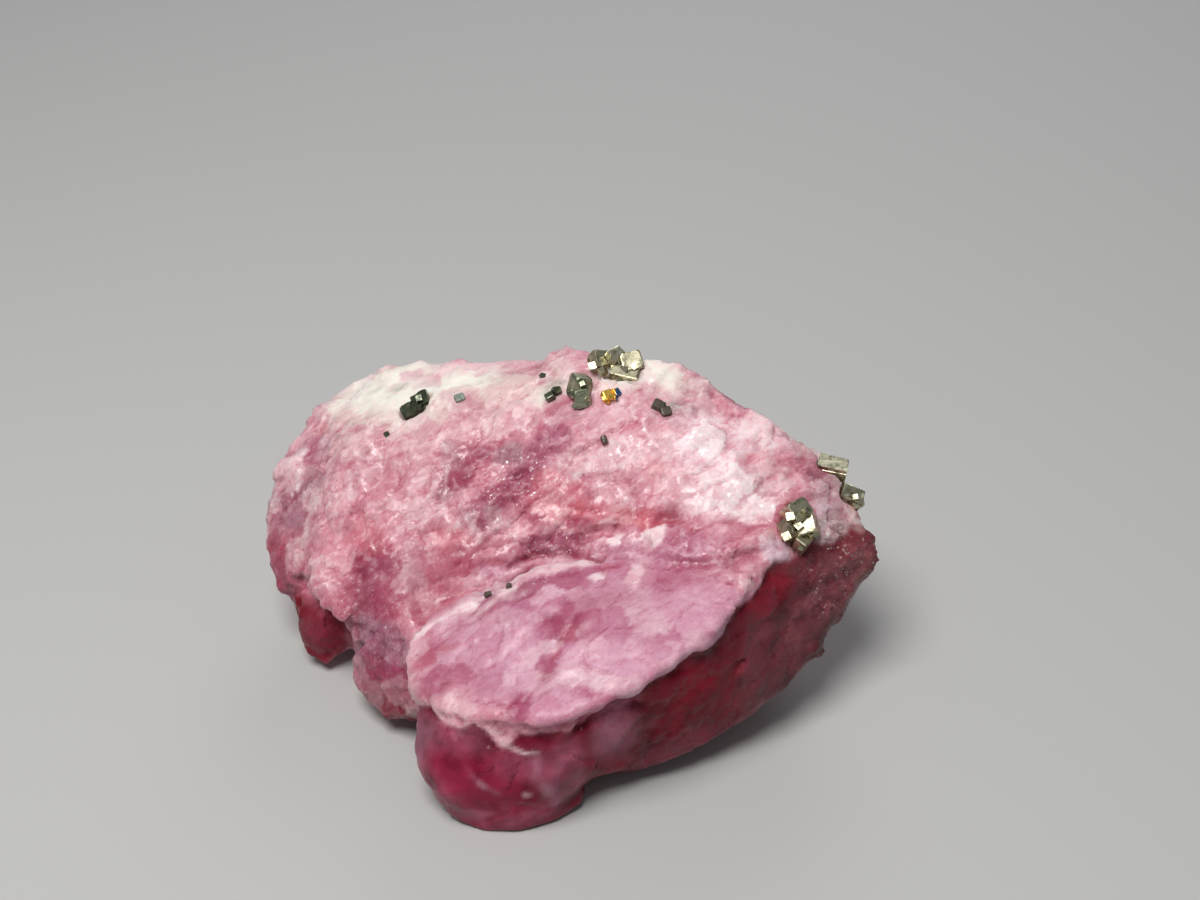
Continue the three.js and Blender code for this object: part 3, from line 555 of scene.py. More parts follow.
def mineral_colours(points):
    """The mineral's colour at each point, how far it is the clear kind, and how far it is crust. Under the
    shelf's rim the clear kind is dark, partly by its own deep colour and partly as painted shade. Borders
    follow crystal grains, and wander a little."""
    wander = wandering(points, 1.8, 40, 0.6)
    ragged = wandering(points, 0.8, 50, 0.7)
    chance, offset = crystal_cells(points + wander * 0.10, 1.1, 31)
    settled = points + wander * 0.35 + ragged * 0.22 - 0.32 * offset
    drifting = points + wander * 0.6 + ragged * 0.55
    colours = np.tile(np.array(MINERAL["pink"]), (len(points), 1))
    drift = layered_noise(points, 3.0, 60, 4, 0.6)
    colours = laid_over(colours, np.clip(drift * 1.8 - 0.1, 0, 0.6), "pale")
    colours = laid_over(colours, np.clip(-drift * 1.8 - 0.1, 0, 0.6), "rose")
    colours = zones_laid_over(colours, settled, ZONES, 0.3)
    for name, line, width, strength in BANDS:
        reach = distance_to_line(settled, line) / width
        colours = laid_over(colours, unit((1.25 - reach) / 0.5) * strength, name)
    colours = zones_laid_over(colours, drifting, CRUST, 0.7)
    clear = np.tile(np.array(MINERAL["wine"]), (len(points), 1))
    clear = laid_over(clear, np.clip(drift * 1.5 + 0.1, 0, 0.6), "ruby")
    clear = zones_laid_over(clear, points + wander * 0.5, CLEAR_AND_SHADED_ZONES, 0.45)
    # Painted shade, together with the clear mineral's deep colour, on the faces below the shelf's rim.
    shade = under_the_rim(points + wander * 0.22)
    colours = colours * (1 - shade[:, None]) + clear * shade[:, None]
    # Some grains are cloudier or clearer than their neighbours.
    soft = 0.5 + 0.5 * layered_noise(points, 1.4, 70, 3)
    cloudy = unit((chance[:, 0] - 0.65) / 0.2) * soft * (0.42 - 0.42 * shade)
    cloudy *= 1 - soft_zone(points, LEFT_LOBE, (1.8, 2.5, 2.0), 0.2)
    colours = laid_over(colours, cloudy, "frost")
    dark = unit((chance[:, 1] - 0.65) / 0.2) * (1.2 - soft)
    colours = colours * (1 - dark[:, None] * np.array((0.16, 0.42, 0.33)))
    murk = layered_noise(points, 1.1, 75, 4, 0.6) * shade
    colours = colours * (1 + 0.9 * np.clip(murk, -0.5, 1.2))[:, None]
    for name, line, width, strength in VEILS:
        reach = distance_to_line(points + wander * 0.2 + ragged * 0.06, line) / width
        patchy = unit(0.75 + 0.9 * ragged[:, 0])
        colours = laid_over(colours, np.exp(-(reach**2)) * strength * patchy, name)
    crusted = strongest(drifting, [zone for name, *zone in CRUST if name == "crust"], 0.7)
    return colours, shade, crusted


# The cleavage runs up to the right across the front face. Grains and streaks are drawn out along it.
CLEAVAGE = np.array(((0.82, 0.43, 0.37), (-0.45, 0.89, -0.04), (-0.35, -0.13, 0.93)))
DRAWN_OUT = 0.6  # how far the grains' length along the cleavage is squeezed in their own frame


def cleavage_frame(points):
    """The points in the cleavage's own directions, squeezed along the first one."""
    return points @ CLEAVAGE.T * np.array((DRAWN_OUT, 1.0, 1.0))


def terraces(points, downhill, width, drop, seed):
    """Heights of shallow overlapping flakes, each ending in a ragged edge that faces downhill."""
    along = points @ (np.array(downhill) / np.linalg.norm(downhill)) / width
    along += 0.75 * layered_noise(points, 2.6, seed, 3, 0.5)
    part = along - np.floor(along)
    edge = unit((1 - part) / 0.10)
    return drop * (part * edge - 0.45)


SPECK = 0.62  # a grain smaller than this is a speck, which the skin closes on by itself
SOCKET_FILL = 0.16  # how much wider a socket's fill is than its grain, on each side
SINK = 0.42  # how far the fill is sunk, as a share of the grain's height over the surface


def grain_nodes():
    return [(name, node) for name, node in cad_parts.items() if name != "rhodochrosite_mass"]


def grain_trees():
    """A search tree and the box of each grain that is larger than a speck, in millimetres."""
    trees = []
    for name, node in grain_nodes():
        low, high = (np.array(corner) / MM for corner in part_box(name))
        if max(high - low) < SPECK:
            continue
        work = opened(node.data)
        bmesh.ops.scale(work, vec=(1 / MM,) * 3, verts=work.verts)
        trees.append((BVHTree.FromBMesh(work), low - 0.4, high + 0.4))
        work.free()
    return trees


def nearness_to_grains(points):
    """How far each point near a large grain is from it. It is FAR for the others."""
    near = np.full(len(points), FAR)
    for tree, low, high in grain_trees():
        for i in np.nonzero(np.all((points > low) & (points < high), axis=1))[0]:
            at, normal, _, gap = tree.find_nearest(Vector(points[i]))
            near[i] = min(near[i], gap if (Vector(points[i]) - at).dot(normal) > 0 else 0.0)
    return near


def remesh(piece, spacing):
    skin = piece.modifiers.new("skin", "REMESH")
    skin.mode = "VOXEL"
    skin.voxel_size = spacing
    apply_modifiers(piece)


def sculpt_mass():
    """The mass: smooth lobes, then flakes and crystal faces, with the values that its material reads."""
    mass = welded_copy("rhodochrosite_mass", "rhodochrosite")
    fill_sockets(mass)
    remesh(mass, SKIN)
    finer_round_grains(mass)
    mesh = mass.data
    edges = neighbours_of(mesh)
    rest = relaxed(points_of(mesh), edges, 4, 0.7)
    rounded = relaxed(rest, edges, 60, 0.8)
    calm = np.maximum(*(soft_zone(rest, *lobe) for lobe in WORN_SMOOTH))
    for name, node in grain_nodes():
        low, high = (np.array(corner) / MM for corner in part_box(name))
        if max(high - low) < SPECK:
            calm = np.maximum(calm, soft_zone(rest, (low + high) / 2, (0.6, 0.6, 0.6), 0.3))
    calm *= unit((rest[:, 2] - 0.25) / 0.8)
    rest += (rounded - rest) * calm[:, None]
    mesh.vertices.foreach_set("co", rest.ravel())
    mesh.update()
    outward = relaxed(normals_of(mesh), edges, 12)
    outward /= np.linalg.norm(outward, axis=1)[:, None]

    # How rough the break is: 1 on the granular parts, low on the glassy lobe and the shelf.
    colours, clear, crusted = mineral_colours(rest)
    shelf = soft_zone(rest, *SHELF) * (1 - clear)
    lobe = soft_zone(rest, *FRONT_LOBE) * clear
    left_lobe = soft_zone(rest, *GLASSY_LEFT_LOBE)
    sugary_end = soft_zone(rest, *SUGARY_END)
    glassy = unit(np.maximum(lobe, 0.4 * left_lobe) + 0.6 * clear) * (1 - 0.7 * sugary_end)
    crusty = soft_zone(rest, *CRUSTY_RIDGE)
    clean_break = soft_zone(rest, *CLEAN_BREAK)
    rough = np.clip(1 - 0.7 * shelf - 0.9 * glassy - 0.4 * crusty - 0.45 * clean_break, 0.06, 1)
    glint = strongest(rest, GLINTING, 0.4)

    # Broad undulation, flakes, then flat crystal faces from coarse to fine.
    along = cleavage_frame(rest)
    near = nearness_to_grains(rest)
    wobble = wandering(rest, 1.8, 40, 0.6)
    height = layered_noise(rest, 4.0, 1, 3) * 0.13
    height -= 0.3 * soft_zone(rest, *HOLLOW_FACE)
    flaky = rough * unit(0.5 + 2.2 * layered_noise(rest, 3.0, 22, 2))
    height += flaky * terraces(rest, (0.35, -0.75, -0.55), 2.1, 0.08, 21)
    height += rough * facets(along, 1.5, 11, 0.10, 0.07)
    height += rough * facets(along, 0.7, 12, 0.14, 0.05)
    height += rough * (0.5 + 0.5 * glint) * facets(rest, 0.36, 13, 0.16, 0.035)
    for line, width, depth in CREVICES:
        height -= depth * np.exp(-((distance_to_line(rest + wobble * 0.2, line) / width) ** 2))
    rim_wear = np.exp(-((distance_to_rim(rest) / 0.8) ** 2))
    height += 0.34 * rim_wear * layered_noise(rest, 1.4, 23, 3, 0.6)
    height += 0.14 * rim_wear * (1 - clear)
    height += glassy * facets(rest, 2.4, 14, 0.06, 0.01)
    height += shelf * (facets(along, 1.6, 15, 0.08, 0.07) + 0.08 * layered_noise(rest, 1.0, 16, 4, 0.6))
    height += shelf * terraces(rest, (0.5, -0.8, -0.2), 2.4, 0.08, 24)
    height *= unit((near - 0.1) / 0.4)
    keep_flat = unit(rest[:, 2] / 0.6)
    new = rest + outward * (height * keep_flat)[:, None]
    new[:, 2] = np.maximum(new[:, 2], 0.0)
    mesh.vertices.foreach_set("co", new.ravel())
    mesh.update()

    # Where the surface stands out it is bruised pale, and where it sinks the material deepens its colour as
    # painted shade.
    proud = np.sum((new - relaxed(new, edges, 5)) * outward, axis=1) / 0.045
    store_colour(mesh, "tint", colours)
    store(mesh, "proud", np.clip(proud, -1, 1))
    store(mesh, "clear", np.maximum(clear, left_lobe))
    for name, values in (("rough", rough), ("glassy", glassy), ("glint", glint), ("crusted", crusted)):
        store(mesh, name, values)

    mesh.transform(Matrix.Scale(MM, 4))
    mesh.polygons.foreach_set("use_smooth", [True] * len(mesh.polygons))
    mesh.update()
    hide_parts("rhodochrosite_mass")
    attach(mass, "root")
    return mass


FINER_WITHIN = 0.34  # the skin's faces are split within this distance of a grain
ROUGH_SKIN = 0.3  # spacing of the rough skin that says which way is out
AROUND_GRAIN = 1.6  # how far round a grain the rough skin is looked at
FILL_WELD = 0.002  # corners of the fills closer than this are joined


def finer_round_grains(mass):
    """Splits the skin's faces near the larger grains, so that it meets them in a clean line."""
    work = opened(mass.data)
    close = set()
    for tree, low, high in grain_trees():
        for vert in work.verts:
            if all(low[i] < vert.co[i] < high[i] for i in range(3)):
                if tree.find_nearest(vert.co)[3] < FINER_WITHIN:
                    close.add(vert)
    edges = [edge for edge in work.edges if edge.verts[0] in close and edge.verts[1] in close]
    bmesh.ops.subdivide_edges(work, edges=edges, cuts=2, use_grid_fill=True)
    bmesh.ops.triangulate(work, faces=[face for face in work.faces if len(face.verts) > 4])
    write_back(work, mass.data)


def fill_sockets(mass):
    """Fills the bottom of each grain's socket with a swollen copy of the grain, sunk into the mass."""
    rough_skin = welded_copy("rhodochrosite_mass", "rough skin")
    remesh(rough_skin, ROUGH_SKIN)
    points = points_of(rough_skin.data)
    normals = normals_of(rough_skin.data)
    bpy.data.objects.remove(rough_skin)
    work = opened(mass.data)
    for name, node in grain_nodes():
        low, high = (Vector(corner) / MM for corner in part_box(name))
        size = high - low
        middle = (low + high) / 2
        if max(size) < SPECK:
            continue
        around = np.linalg.norm(points - np.array(middle), axis=1) < AROUND_GRAIN
        out = Vector(normals[around].mean(axis=0)).normalized()
        sunk = middle - out * SINK * sum(abs(out[i]) * size[i] for i in range(3))
        first = len(work.verts)
        work.from_mesh(node.data)
        work.verts.ensure_lookup_table()
        verts = work.verts[first:]
        swell = [(length + 2 * SOCKET_FILL) / length for length in size]
        bmesh.ops.scale(work, vec=(1 / MM,) * 3, verts=verts)
        bmesh.ops.translate(work, vec=-middle, verts=verts)
        bmesh.ops.scale(work, vec=swell, verts=verts)
        bmesh.ops.translate(work, vec=sunk, verts=verts)
    bmesh.ops.remove_doubles(work, verts=work.verts, dist=FILL_WELD)
    write_back(work, mass.data)


# ---- Materials ----


class Nodes:
    """Short calls for building a node tree."""

    def __init__(self, name):
        self.material = bpy.data.materials.new(name)
        self.material.use_nodes = True
        self.tree = self.material.node_tree
        self.tree.nodes.clear()

    def add(self, kind, inputs=(), **settings):
        node = self.tree.nodes.new("ShaderNode" + kind)
        for key, value in settings.items():
            setattr(node, key, value)
        for key, value in dict(inputs).items():
            socket = node.inputs[key]
            if isinstance(value, bpy.types.NodeSocket):
                self.tree.links.new(value, socket)
            else:
                socket.default_value = value
        return node

    def millimetres(self):
        """Object coordinates, one unit to the millimetre."""
        place = self.add("TexCoord").outputs["Object"]
        return self.add("Mapping", {"Vector": place, "Scale": (1000, 1000, 1000)}).outputs[0]

    def cleavage_frame(self, place, squeezed=0.25):
        """The place in the cleavage's own directions, squeezed along the first one."""
        parts = []
        for direction, squeeze in zip(CLEAVAGE, (squeezed, 1.0, 1.0)):
            parts.append(
                self.add(
                    "VectorMath",
                    {0: place, 1: [float(d) * squeeze for d in direction]},
                    operation="DOT_PRODUCT",
                ).outputs["Value"]
            )
        return self.add("CombineXYZ", dict(enumerate(parts))).outputs[0]

    def attribute(self, name, output="Fac"):
        return self.add("Attribute", attribute_name=name).outputs[output]

    def noise(self, place, scale, detail=4.0, roughness=0.6, distortion=0.0):
        return self.add(
            "TexNoise",
            {"Vector": place, "Scale": scale, "Detail": detail, "Roughness": roughness,
             "Distortion": distortion},
        ).outputs["Fac"]

    def ramp(self, value, low, high, to_low=0.0, to_high=1.0):
        return self.add(
            "MapRange",
            {"Value": value, "From Min": low, "From Max": high, "To Min": to_low, "To Max": to_high},
            interpolation_type="SMOOTHSTEP",
        ).outputs["Result"]

    def noise_colour(self, place, scale, detail):
        inputs = {"Vector": place, "Scale": scale, "Detail": detail}
        return self.add("TexNoise", inputs).outputs["Color"]

    def math(self, operation, a, b=0.0):
        return self.add("Math", {0: a, 1: b}, operation=operation).outputs[0]

    def times(self, a, b):
        return self.math("MULTIPLY", a, b)

    def vector(self, operation, *values):
        return self.add("VectorMath", dict(enumerate(values)), operation=operation).outputs[0]

    def scaled(self, random_colour, amount):
        """A random colour as a lean to any side, by an amount."""
        centred = self.vector("SUBTRACT", random_colour, (0.5, 0.5, 0.5))
        return self.add("VectorMath", {0: centred, "Scale": amount}, operation="SCALE").outputs[0]

    def mix(self, share, a, b, blend="MIX"):
        node = self.add("Mix", data_type="RGBA", blend_type=blend)
        for socket, value in zip((0, 6, 7), (share, a, b)):
            if isinstance(value, bpy.types.NodeSocket):
                self.tree.links.new(value, node.inputs[socket])
            else:
                node.inputs[socket].default_value = value if socket == 0 else (*value, 1)
        return node.outputs[2]

    def bump(self, height, strength, depth, inputs=()):
        """A bumpy normal. The depth is in millimetres."""
        inputs = {"Height": height, "Strength": strength, "Distance": depth * MM, **dict(inputs)}
        return self.add("Bump", inputs).outputs[0]

    def frosted(self, colour, share):
        return self.mix(share, colour, MINERAL["frost"])

    def deepened(self, colour, share, by):
        return self.mix(share, colour, by, "MULTIPLY")

    def finish(self, shader):
        output = self.add("OutputMaterial")
        self.tree.links.new(shader.outputs[0], output.inputs["Surface"])
        return self.material


def rhodochrosite_material():
    n = Nodes("broken rhodochrosite")
    place = n.millimetres()
    rough, glassy, proud, glint, clear = map(n.attribute, ("rough", "glassy", "proud", "glint", "clear"))
    mineral = n.ramp(n.attribute("crusted"), 0.2, 0.8, 1.0, 0.15)
    colour = n.attribute("tint", "Color")
    depth = n.add("SeparateColor", {0: colour}).outputs[1]
    cloudy = n.times(n.ramp(clear, 0.0, 0.6, 1.0, 0.03), n.ramp(depth, 0.05, 0.42, 0.2, 1.0))

    # Cloudy light and dark inside the mineral, and fine streaks along the cleavage.
    cloud = n.noise(place, 0.8, 7, 0.7, 0.5)
    colour = n.frosted(colour, n.times(n.ramp(cloud, 0.52, 0.8, 0, 0.25), cloudy))
    deep_cloud = n.times(n.ramp(cloud, 0.48, 0.25, 0, 0.9), mineral)
    colour = n.deepened(colour, deep_cloud, (0.86, 0.55, 0.62))
    streak = n.noise(n.cleavage_frame(place), 2.6, 5, 0.7, 0.3)
    pale_where = n.times(cloudy, n.ramp(rough, 0.0, 0.8, 0.3, 1))
    colour = n.frosted(colour, n.times(n.ramp(streak, 0.55, 0.72, 0, 0.42), pale_where))
    deep_where = n.times(mineral, n.ramp(rough, 0.0, 0.8, 0.4, 1))
    colour = n.deepened(colour, n.times(n.ramp(streak, 0.46, 0.3, 0, 0.85), deep_where), (0.86, 0.55, 0.64))

    # Each crystal grain is a little cloudier or clearer than the next, with bruised white borders.
    warp = n.vector("MULTIPLY_ADD", n.noise_colour(place, 1.5, 3), (0.5, 0.5, 0.5), place)
    grains = n.add("TexVoronoi", {"Vector": warp, "Scale": 1.9})
    borders = n.add("TexVoronoi", {"Vector": warp, "Scale": 1.9}, feature="DISTANCE_TO_EDGE")
    grain_chance = n.add("SeparateColor", {0: grains.outputs["Color"]}).outputs
    broken = n.ramp(n.noise(place, 1.1, 3, 0.6), 0.4, 0.62, 0.1, 1.0)
    broken = n.times(n.times(broken, n.ramp(rough, 0.2, 0.9, 0.15, 1)), mineral)
    cloudy_break = n.times(cloudy, broken)
    colour = n.frosted(colour, n.times(n.ramp(grain_chance[0], 0.6, 0.95, 0, 0.25), cloudy_break))
    deep_grain = n.times(n.ramp(grain_chance[1], 0.6, 0.95, 0, 0.55), broken)
    colour = n.deepened(colour, deep_grain, (0.82, 0.52, 0.6))
    border = n.ramp(borders.outputs["Distance"], 0.09, 0.0, 0, 0.12)
    colour = n.frosted(colour, n.times(border, cloudy_break))

    # Bruised pale edges and crushed grains, and painted shade: deeper colour in the hollows.
    crushed = n.noise(place, 4.0, 5, 0.7)
    bruise = n.times(n.ramp(proud, 0.1, 0.9), n.ramp(crushed, 0.4, 0.62))
    bruise = n.times(bruise, n.times(cloudy, n.ramp(rough, 0.0, 1.0, 0.04, 0.4)))
    colour = n.frosted(colour, bruise)
    hollow_shade = n.times(n.ramp(proud, -0.15, -0.9, 0, 0.6), mineral)
    colour = n.deepened(colour, hollow_shade, (0.8, 0.48, 0.56))

    # A sugary grain, light and dark by turns.
    sugar = n.noise(n.cleavage_frame(place, 0.55), 8.0, 4, 0.75)
    colour = n.frosted(colour, n.times(n.ramp(sugar, 0.53, 0.74, 0, 0.4), cloudy))
    colour = n.deepened(colour, n.times(n.ramp(sugar, 0.48, 0.27, 0, 0.9), mineral), (0.84, 0.6, 0.66))

    # Tiny crystal faces that lean their own ways and catch the light. A few of them are painted white, some
    # warm, as painted glints.
    small = n.add("TexVoronoi", {"Vector": place, "Scale": 4.2})
    fine = n.add("TexVoronoi", {"Vector": n.cleavage_frame(place, 0.6), "Scale": 12.0})
    chance = n.add("SeparateColor", {0: fine.outputs["Color"]}).outputs
    huddle = n.math("ADD", chance[0], n.ramp(n.noise(place, 3.4, 3, 0.6), 0.3, 0.7, -0.3, 0.3))
    painted_flash = n.times(n.ramp(huddle, 0.85, 1.0), n.ramp(fine.outputs["Distance"], 0.7, 0.25))
    patchy = n.ramp(n.noise(place, 1.6, 3, 0.6), 0.4, 0.62, 0.15, 1.0)
    painted_sparkle = n.times(n.times(painted_flash, patchy), n.ramp(glint, 0.05, 1.0, 0.14, 1.0))
    seen = n.math("MAXIMUM", n.ramp(clear, 0.2, 0.8, 1.0, 0.12), n.times(glint, 0.6))
    painted_sparkle = n.times(painted_sparkle, seen)
    painted_glint_colour = n.mix(n.ramp(chance[2], 0.7, 0.9), (1.0, 0.94, 0.93), (1.0, 0.72, 0.58))
    colour = n.mix(painted_sparkle, colour, painted_glint_colour)
    lean = n.scaled(grains.outputs["Color"], n.ramp(rough, 0.1, 1.0, 0.08, 0.32))
    lean = n.vector("ADD", lean, n.scaled(small.outputs["Color"], n.ramp(rough, 0.1, 1.0, 0.05, 0.22)))
    fine_lean = n.math("ADD", n.ramp(rough, 0.1, 1.0, 0.02, 0.12), n.ramp(glint, 0.1, 1.0, 0.0, 0.3))
    lean = n.vector("ADD", lean, n.scaled(fine.outputs["Color"], fine_lean))
    normal = n.vector("ADD", n.add("NewGeometry").outputs["Normal"], lean)
    normal = n.vector("NORMALIZE", normal)
    pits = n.noise(place, 6.0, 6, 0.7)
    normal = n.bump(pits, 0.22, 0.05, {"Normal": normal})

    gloss = n.ramp(glassy, 0.0, 1.0, 0.42, 0.17)
    gloss = n.math("ADD", gloss, n.ramp(crushed, 0.3, 0.7, -0.06, 0.10))
    gloss = n.math("SUBTRACT", gloss, n.times(n.ramp(grain_chance[2], 0.5, 1.0, 0.0, 0.2), rough))
    gloss = n.math("SUBTRACT", gloss, n.times(painted_sparkle, 0.25))
    shader = n.add(
        "BsdfPrincipled",
        {
            "Base Color": colour,
            "Roughness": gloss,
            "Normal": normal,
            "IOR": 1.6,
            "Specular IOR Level": n.ramp(clear, 0.1, 0.8, 0.40, 0.12),
            "Subsurface Weight": 0.4,
            "Subsurface Scale": 0.0006,
            "Subsurface Radius": (1.0, 0.35, 0.4),
        },
    )
    return n.finish(shader)


def sulphide(name, bright, dull, metallic, shine, film=None):
    """A grain's material: bright crystal faces with duller tarnish and fine growth lines. A film is a
    second, iridescent tarnish, which lies on the grain's right side."""
    n = Nodes(name)
    place = n.millimetres()
    tarnish = n.noise(place, 3.2, 6, 0.75)
    colour = n.mix(n.ramp(tarnish, 0.42, 0.66), bright, dull)
    if film:
        middle, film_colour = film
        across = n.add("SeparateXYZ", {0: place}).outputs[0]
        colour = n.mix(n.ramp(across, middle, middle + 0.12), colour, film_colour)
    lines = n.add("Mapping", {"Vector": place, "Scale": (1.2, 2.0, 16.0)}).outputs[0]
    lines = n.noise(lines, 1.0, 3, 0.6)
    normal = n.bump(lines, 0.35, 0.03)
    gloss = n.math("ADD", n.ramp(tarnish, 0.35, 0.7, shine, shine + 0.2), n.ramp(lines, 0.3, 0.7, 0.0, 0.1))
    shader = n.add(
        "BsdfPrincipled",
        {"Base Color": colour, "Roughness": gloss, "Metallic": metallic, "Normal": normal},
    )
    return n.finish(shader)


# ---- The sulphide grains ----


CRYSTAL_WELD = 0.02  # corners of a crystal closer than this are joined
SHARP = math.radians(25)  # crystal edges that turn by more than this are worn


def cut_in_layers(work, along, pitch, step, seed):
    """Gives crystals the stepped sides of stacked growth layers, each a little wider or narrower."""
    along = Vector(along).normalized()
    middle = sum((vert.co for vert in work.verts), Vector()) / len(work.verts)
    reach = [vert.co.dot(along) for vert in work.verts]
    low, high = min(reach), max(reach)
    level = low + pitch
    while level < high - pitch / 2:
        for side in (-1, 1):
            bmesh.ops.bisect_plane(
                work, geom=[*work.verts, *work.edges, *work.faces], dist=0.0005,
                plane_co=along * (level + side * pitch * 0.08), plane_no=along,
            )
        level += pitch
    for vert in work.verts:
        layer = math.floor((vert.co.dot(along) - low) / pitch)
        share = hashed(np.array([[layer, layer * 3, 7]]), seed, 1)[0, 0]
        arm = vert.co - middle
        arm -= along * arm.dot(along)
        if arm.length > 0.001:
            vert.co -= arm.normalized() * step * share


def terrace_faces(work, thickness, depth, least):
    """A low stepped terrace on each crystal face that is larger than the least area."""
    faces = [face for face in work.faces if face.calc_area() > least]
    bmesh.ops.inset_individual(work, faces=faces, thickness=thickness, depth=depth, use_even_offset=True)


def facing(normal, roll):
    """A turn that makes one face of a cube look along a direction."""
    return Vector(normal).to_track_quat("Z", "Y").to_matrix().to_4x4() @ Matrix.Rotation(roll, 4, "Z")


def held_to(surface, work, reach):
    """Wear only takes a little away, so a corner thrown farther than that goes back to the surface."""
    for vert in work.verts:
        at, _, _, gap = surface.find_nearest(vert.co)
        if gap > reach:
            vert.co = at


def crystal_grain(node, look, wear, extra=(), layers=None):
    """The detailed piece for one grain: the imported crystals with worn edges, stepped faces, growth layers
    and a few more small crystals. Extra crystals are (place in the grain's box, edge, direction, roll)."""
    piece = welded_copy(node, node + "_crystals")
    low, high = (Vector(corner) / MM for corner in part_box(node))
    work = opened(piece.data)
    bmesh.ops.dissolve_limit(
        work, angle_limit=math.radians(2), verts=work.verts, edges=work.edges, use_dissolve_boundaries=False
    )
    bmesh.ops.remove_doubles(work, verts=work.verts, dist=CRYSTAL_WELD)
    packed = BVHTree.FromBMesh(work)
    if layers:
        cut_in_layers(work, *layers)
    else:
        terrace_faces(work, thickness=0.05, depth=0.012, least=0.10)
        held_to(packed, work, 0.02)
    for share, edge, direction, roll in extra:
        middle = Vector(low[i] + share[i] * (high[i] - low[i]) for i in range(3))
        turned = Matrix.Translation(middle) @ facing(direction, roll)
        bmesh.ops.create_cube(work, size=edge, matrix=turned)
    unworn = BVHTree.FromBMesh(work)
    sharp = [
        edge for edge in work.edges
        if edge.is_manifold and edge.is_convex and edge.calc_face_angle(0) > SHARP
    ]
    bmesh.ops.bevel(
        work, geom=sharp, affect="EDGES", offset=wear, segments=1, profile=0.5, material=-1,
        clamp_overlap=True,
    )
    held_to(unworn, work, 1.5 * wear)
    bmesh.ops.triangulate(work, faces=work.faces)
    bmesh.ops.scale(work, vec=(MM,) * 3, verts=work.verts)
    write_back(work, piece.data)
    piece.data.materials.append(look)
    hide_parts(node)
    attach(piece, "root")


# The direction that sends the key light to someone looking at the specimen's front.
FLASH = (-0.1, -0.6, 0.8)


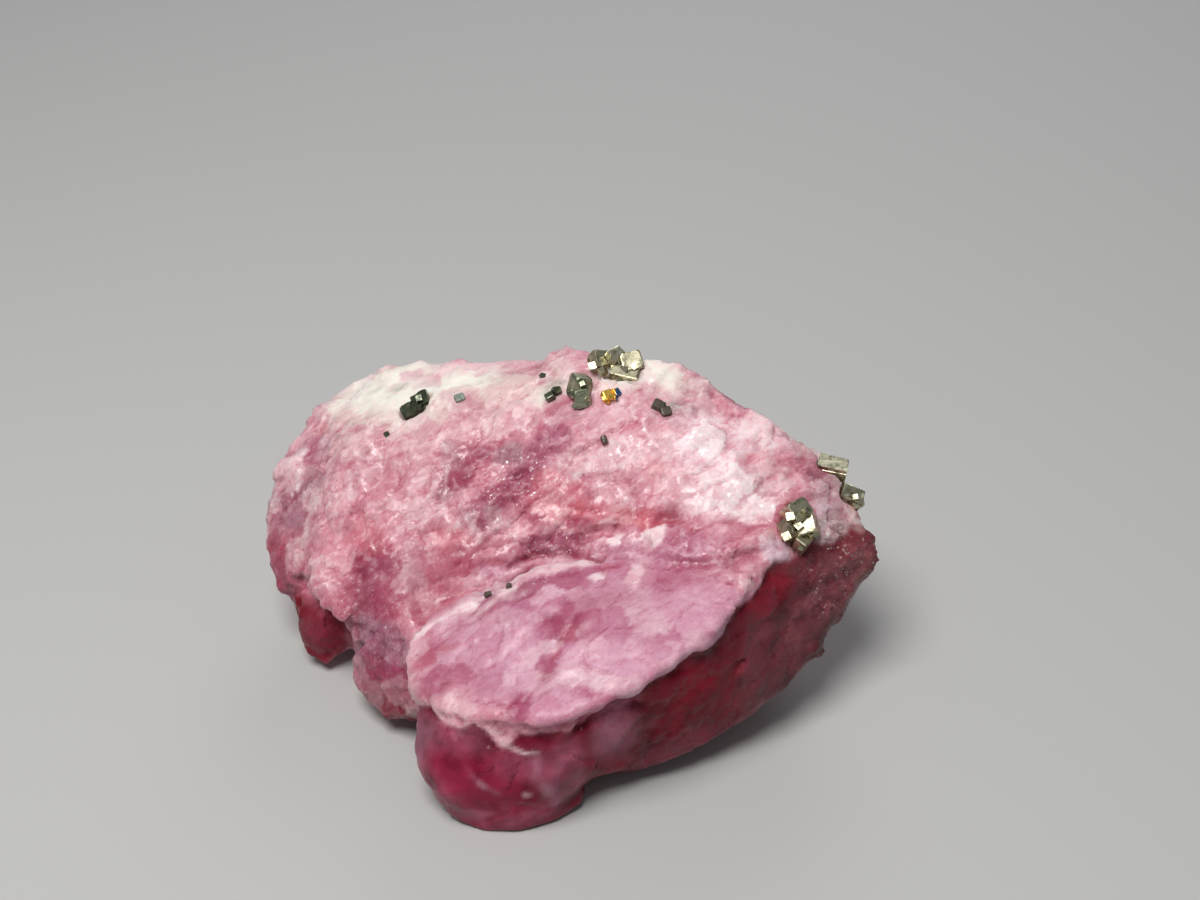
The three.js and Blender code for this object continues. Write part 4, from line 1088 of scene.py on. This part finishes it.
def build_grains():
    pyrite = sulphide("brassy pyrite", (0.68, 0.63, 0.45), (0.15, 0.15, 0.09), 1.0, 0.24)
    olive = sulphide("olive tarnished pyrite", (0.46, 0.48, 0.34), (0.11, 0.13, 0.08), 0.9, 0.28)
    gold_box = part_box("pyrite_gold_grain")
    blue_from = (0.35 * gold_box[0][0] + 0.65 * gold_box[1][0]) / MM
    gold = sulphide(
        "golden pyrite", (0.92, 0.6, 0.13), (0.62, 0.33, 0.05), 1.0, 0.24, (blue_from, (0.06, 0.2, 0.42))
    )
    black = sulphide("greenish black sulphide", (0.1, 0.115, 0.07), (0.012, 0.018, 0.012), 0.5, 0.12)
    brown = sulphide("brown grain", (0.12, 0.095, 0.07), (0.03, 0.026, 0.02), 0.2, 0.3)
    grey = sulphide("grey green grain", (0.26, 0.3, 0.25), (0.1, 0.12, 0.1), 0.1, 0.4)

    crystal_grain("pyrite_cluster_right", pyrite, 0.03, [
        ((0.26, 0.28, 0.84), 0.34, FLASH, 0.3),
        ((0.46, 0.22, 0.66), 0.3, (-0.2, -0.5, 0.84), 1.0),
        ((0.2, 0.14, 0.48), 0.34, (-0.15, -0.68, 0.72), 0.6),
        ((0.62, 0.4, 0.9), 0.28, (0.35, -0.5, 0.8), 0.2),
        ((0.8, 0.22, 0.48), 0.3, (0.6, -0.6, 0.5), 0.4),
        ((0.52, 0.1, 0.24), 0.22, (0.1, -0.8, 0.6), 0.9),
    ])
    crystal_grain("pyrite_blade_right", pyrite, 0.015, layers=((0.1, 0.2, 1.0), 0.11, 0.07, 5))
    crystal_grain("pyrite_cube_right", pyrite, 0.02, [
        ((0.62, 0.3, 0.72), 0.22, FLASH, 0.3),
        ((0.8, 0.4, 0.55), 0.24, (0.4, -0.4, 0.8), 0.9),
    ])
    crystal_grain("pyrite_cluster_top", pyrite, 0.025, [
        ((0.1, 0.3, 0.62), 0.3, FLASH, 0.4),
        ((0.28, 0.22, 0.5), 0.3, (-0.5, -0.5, 0.7), 1.1),
        ((0.45, 0.35, 0.82), 0.3, (0.3, -0.3, 0.9), 0.7),
        ((0.66, 0.25, 0.55), 0.32, (-0.4, -0.8, 0.45), 0.2),
        ((0.84, 0.3, 0.6), 0.28, (-0.15, -0.52, 0.84), 0.8),
        ((0.55, 0.12, 0.3), 0.26, (0.5, -0.6, 0.6), 0.5),
        ((0.36, 0.1, 0.24), 0.22, (-0.1, -0.9, 0.4), 0.1),
    ])
    crystal_grain("pyrite_olive_grain", olive, 0.04, [
        ((0.62, 0.4, 0.8), 0.24, FLASH, 0.5),
        ((0.36, 0.15, 0.2), 0.22, (-0.5, -0.6, 0.6), 1.2),
        ((0.24, 0.45, 0.55), 0.24, (-0.7, -0.2, 0.65), 0.9),
        ((0.8, 0.2, 0.4), 0.22, (0.6, -0.5, 0.6), 0.2),
    ])
    crystal_grain("pyrite_gold_grain", gold, 0.02, [
        ((0.2, 0.2, 0.5), 0.17, FLASH, 0.5),
        ((0.46, 0.2, 0.66), 0.16, (0.2, -0.8, 0.6), 1.0),
        ((0.36, 0.1, 0.3), 0.15, (-0.6, -0.4, 0.6), 0.3),
        ((0.7, 0.25, 0.5), 0.15, (0.5, -0.5, 0.7), 0.8),
    ])
    crystal_grain("dark_crystal_left", black, 0.03, [
        ((0.62, 0.42, 0.86), 0.26, FLASH, 0.4),
        ((0.34, 0.3, 0.46), 0.24, (-0.4, -0.6, 0.7), 0.8),
        ((0.78, 0.3, 0.55), 0.22, (0.5, -0.4, 0.75), 0.2),
    ], layers=((0.25, -0.45, 0.85), 0.2, 0.06, 3))
    crystal_grain("grey_grain_crust", grey, 0.03)
    for node in ("dark_speck_left", "dark_speck_crest", "dark_grain_middle"):
        crystal_grain(node, black, 0.02)
    for node in ("brown_grain_right", "brown_speck_centre"):
        crystal_grain(node, brown, 0.03)
    for node in ("dark_speck_shelf_left", "dark_speck_shelf_right"):
        crystal_grain(node, brown, 0.03)


# ---- The studio ----


LIT_PLACE = (0, 0, 0.006)  # both lights point here, in metres
LOOKING_DOWN = 37  # the camera's angle, in degrees


def soft_light(name, place, size, watts, colour):
    data = bpy.data.lights.new(name, "AREA")
    data.shape = "DISK"
    data.size = size
    data.energy = watts
    data.color = colour
    lamp = placed(name, data)
    lamp.location = place
    lamp.rotation_euler = (Vector(LIT_PLACE) - Vector(place)).to_track_quat("-Z", "Y").to_euler()


def build_studio():
    work = bmesh.new()
    bmesh.ops.create_grid(work, x_segments=1, y_segments=1, size=0.6)
    mesh = bpy.data.meshes.new("floor")
    write_back(work, mesh)
    floor = placed("floor", mesh)
    n = Nodes("pale floor")
    shader = n.add("BsdfPrincipled", {"Base Color": (0.5, 0.5, 0.49, 1), "Roughness": 0.8})
    mesh.materials.append(n.finish(shader))

    soft_light("key", (-0.029, -0.048, 0.149), 0.075, 0.215, (1.0, 0.98, 0.96))
    soft_light("rim", (0.03, 0.15, 0.10), 0.10, 0.05, (0.96, 0.98, 1.0))
    world = bpy.data.worlds.new("studio air")
    world.use_nodes = True
    air = world.node_tree.nodes["Background"].inputs
    air["Color"].default_value = (0.9, 0.95, 1.0, 1)
    air["Strength"].default_value = 0.20
    bpy.context.scene.world = world

    camera = bpy.data.cameras.new("camera")
    camera.lens = 55
    camera.sensor_width = 36
    camera.clip_start = 0.001
    camera.clip_end = 5
    eye = placed("camera", camera)
    eye.location = (1.48 * MM, -59.16 * MM, 56.70 * MM)
    eye.rotation_euler = (math.radians(90 - LOOKING_DOWN), 0, 0)
    bpy.context.scene.camera = eye
    bpy.context.scene.view_settings.view_transform = "Standard"


mass = sculpt_mass()
mass.data.materials.append(rhodochrosite_material())

build_grains()
build_studio()
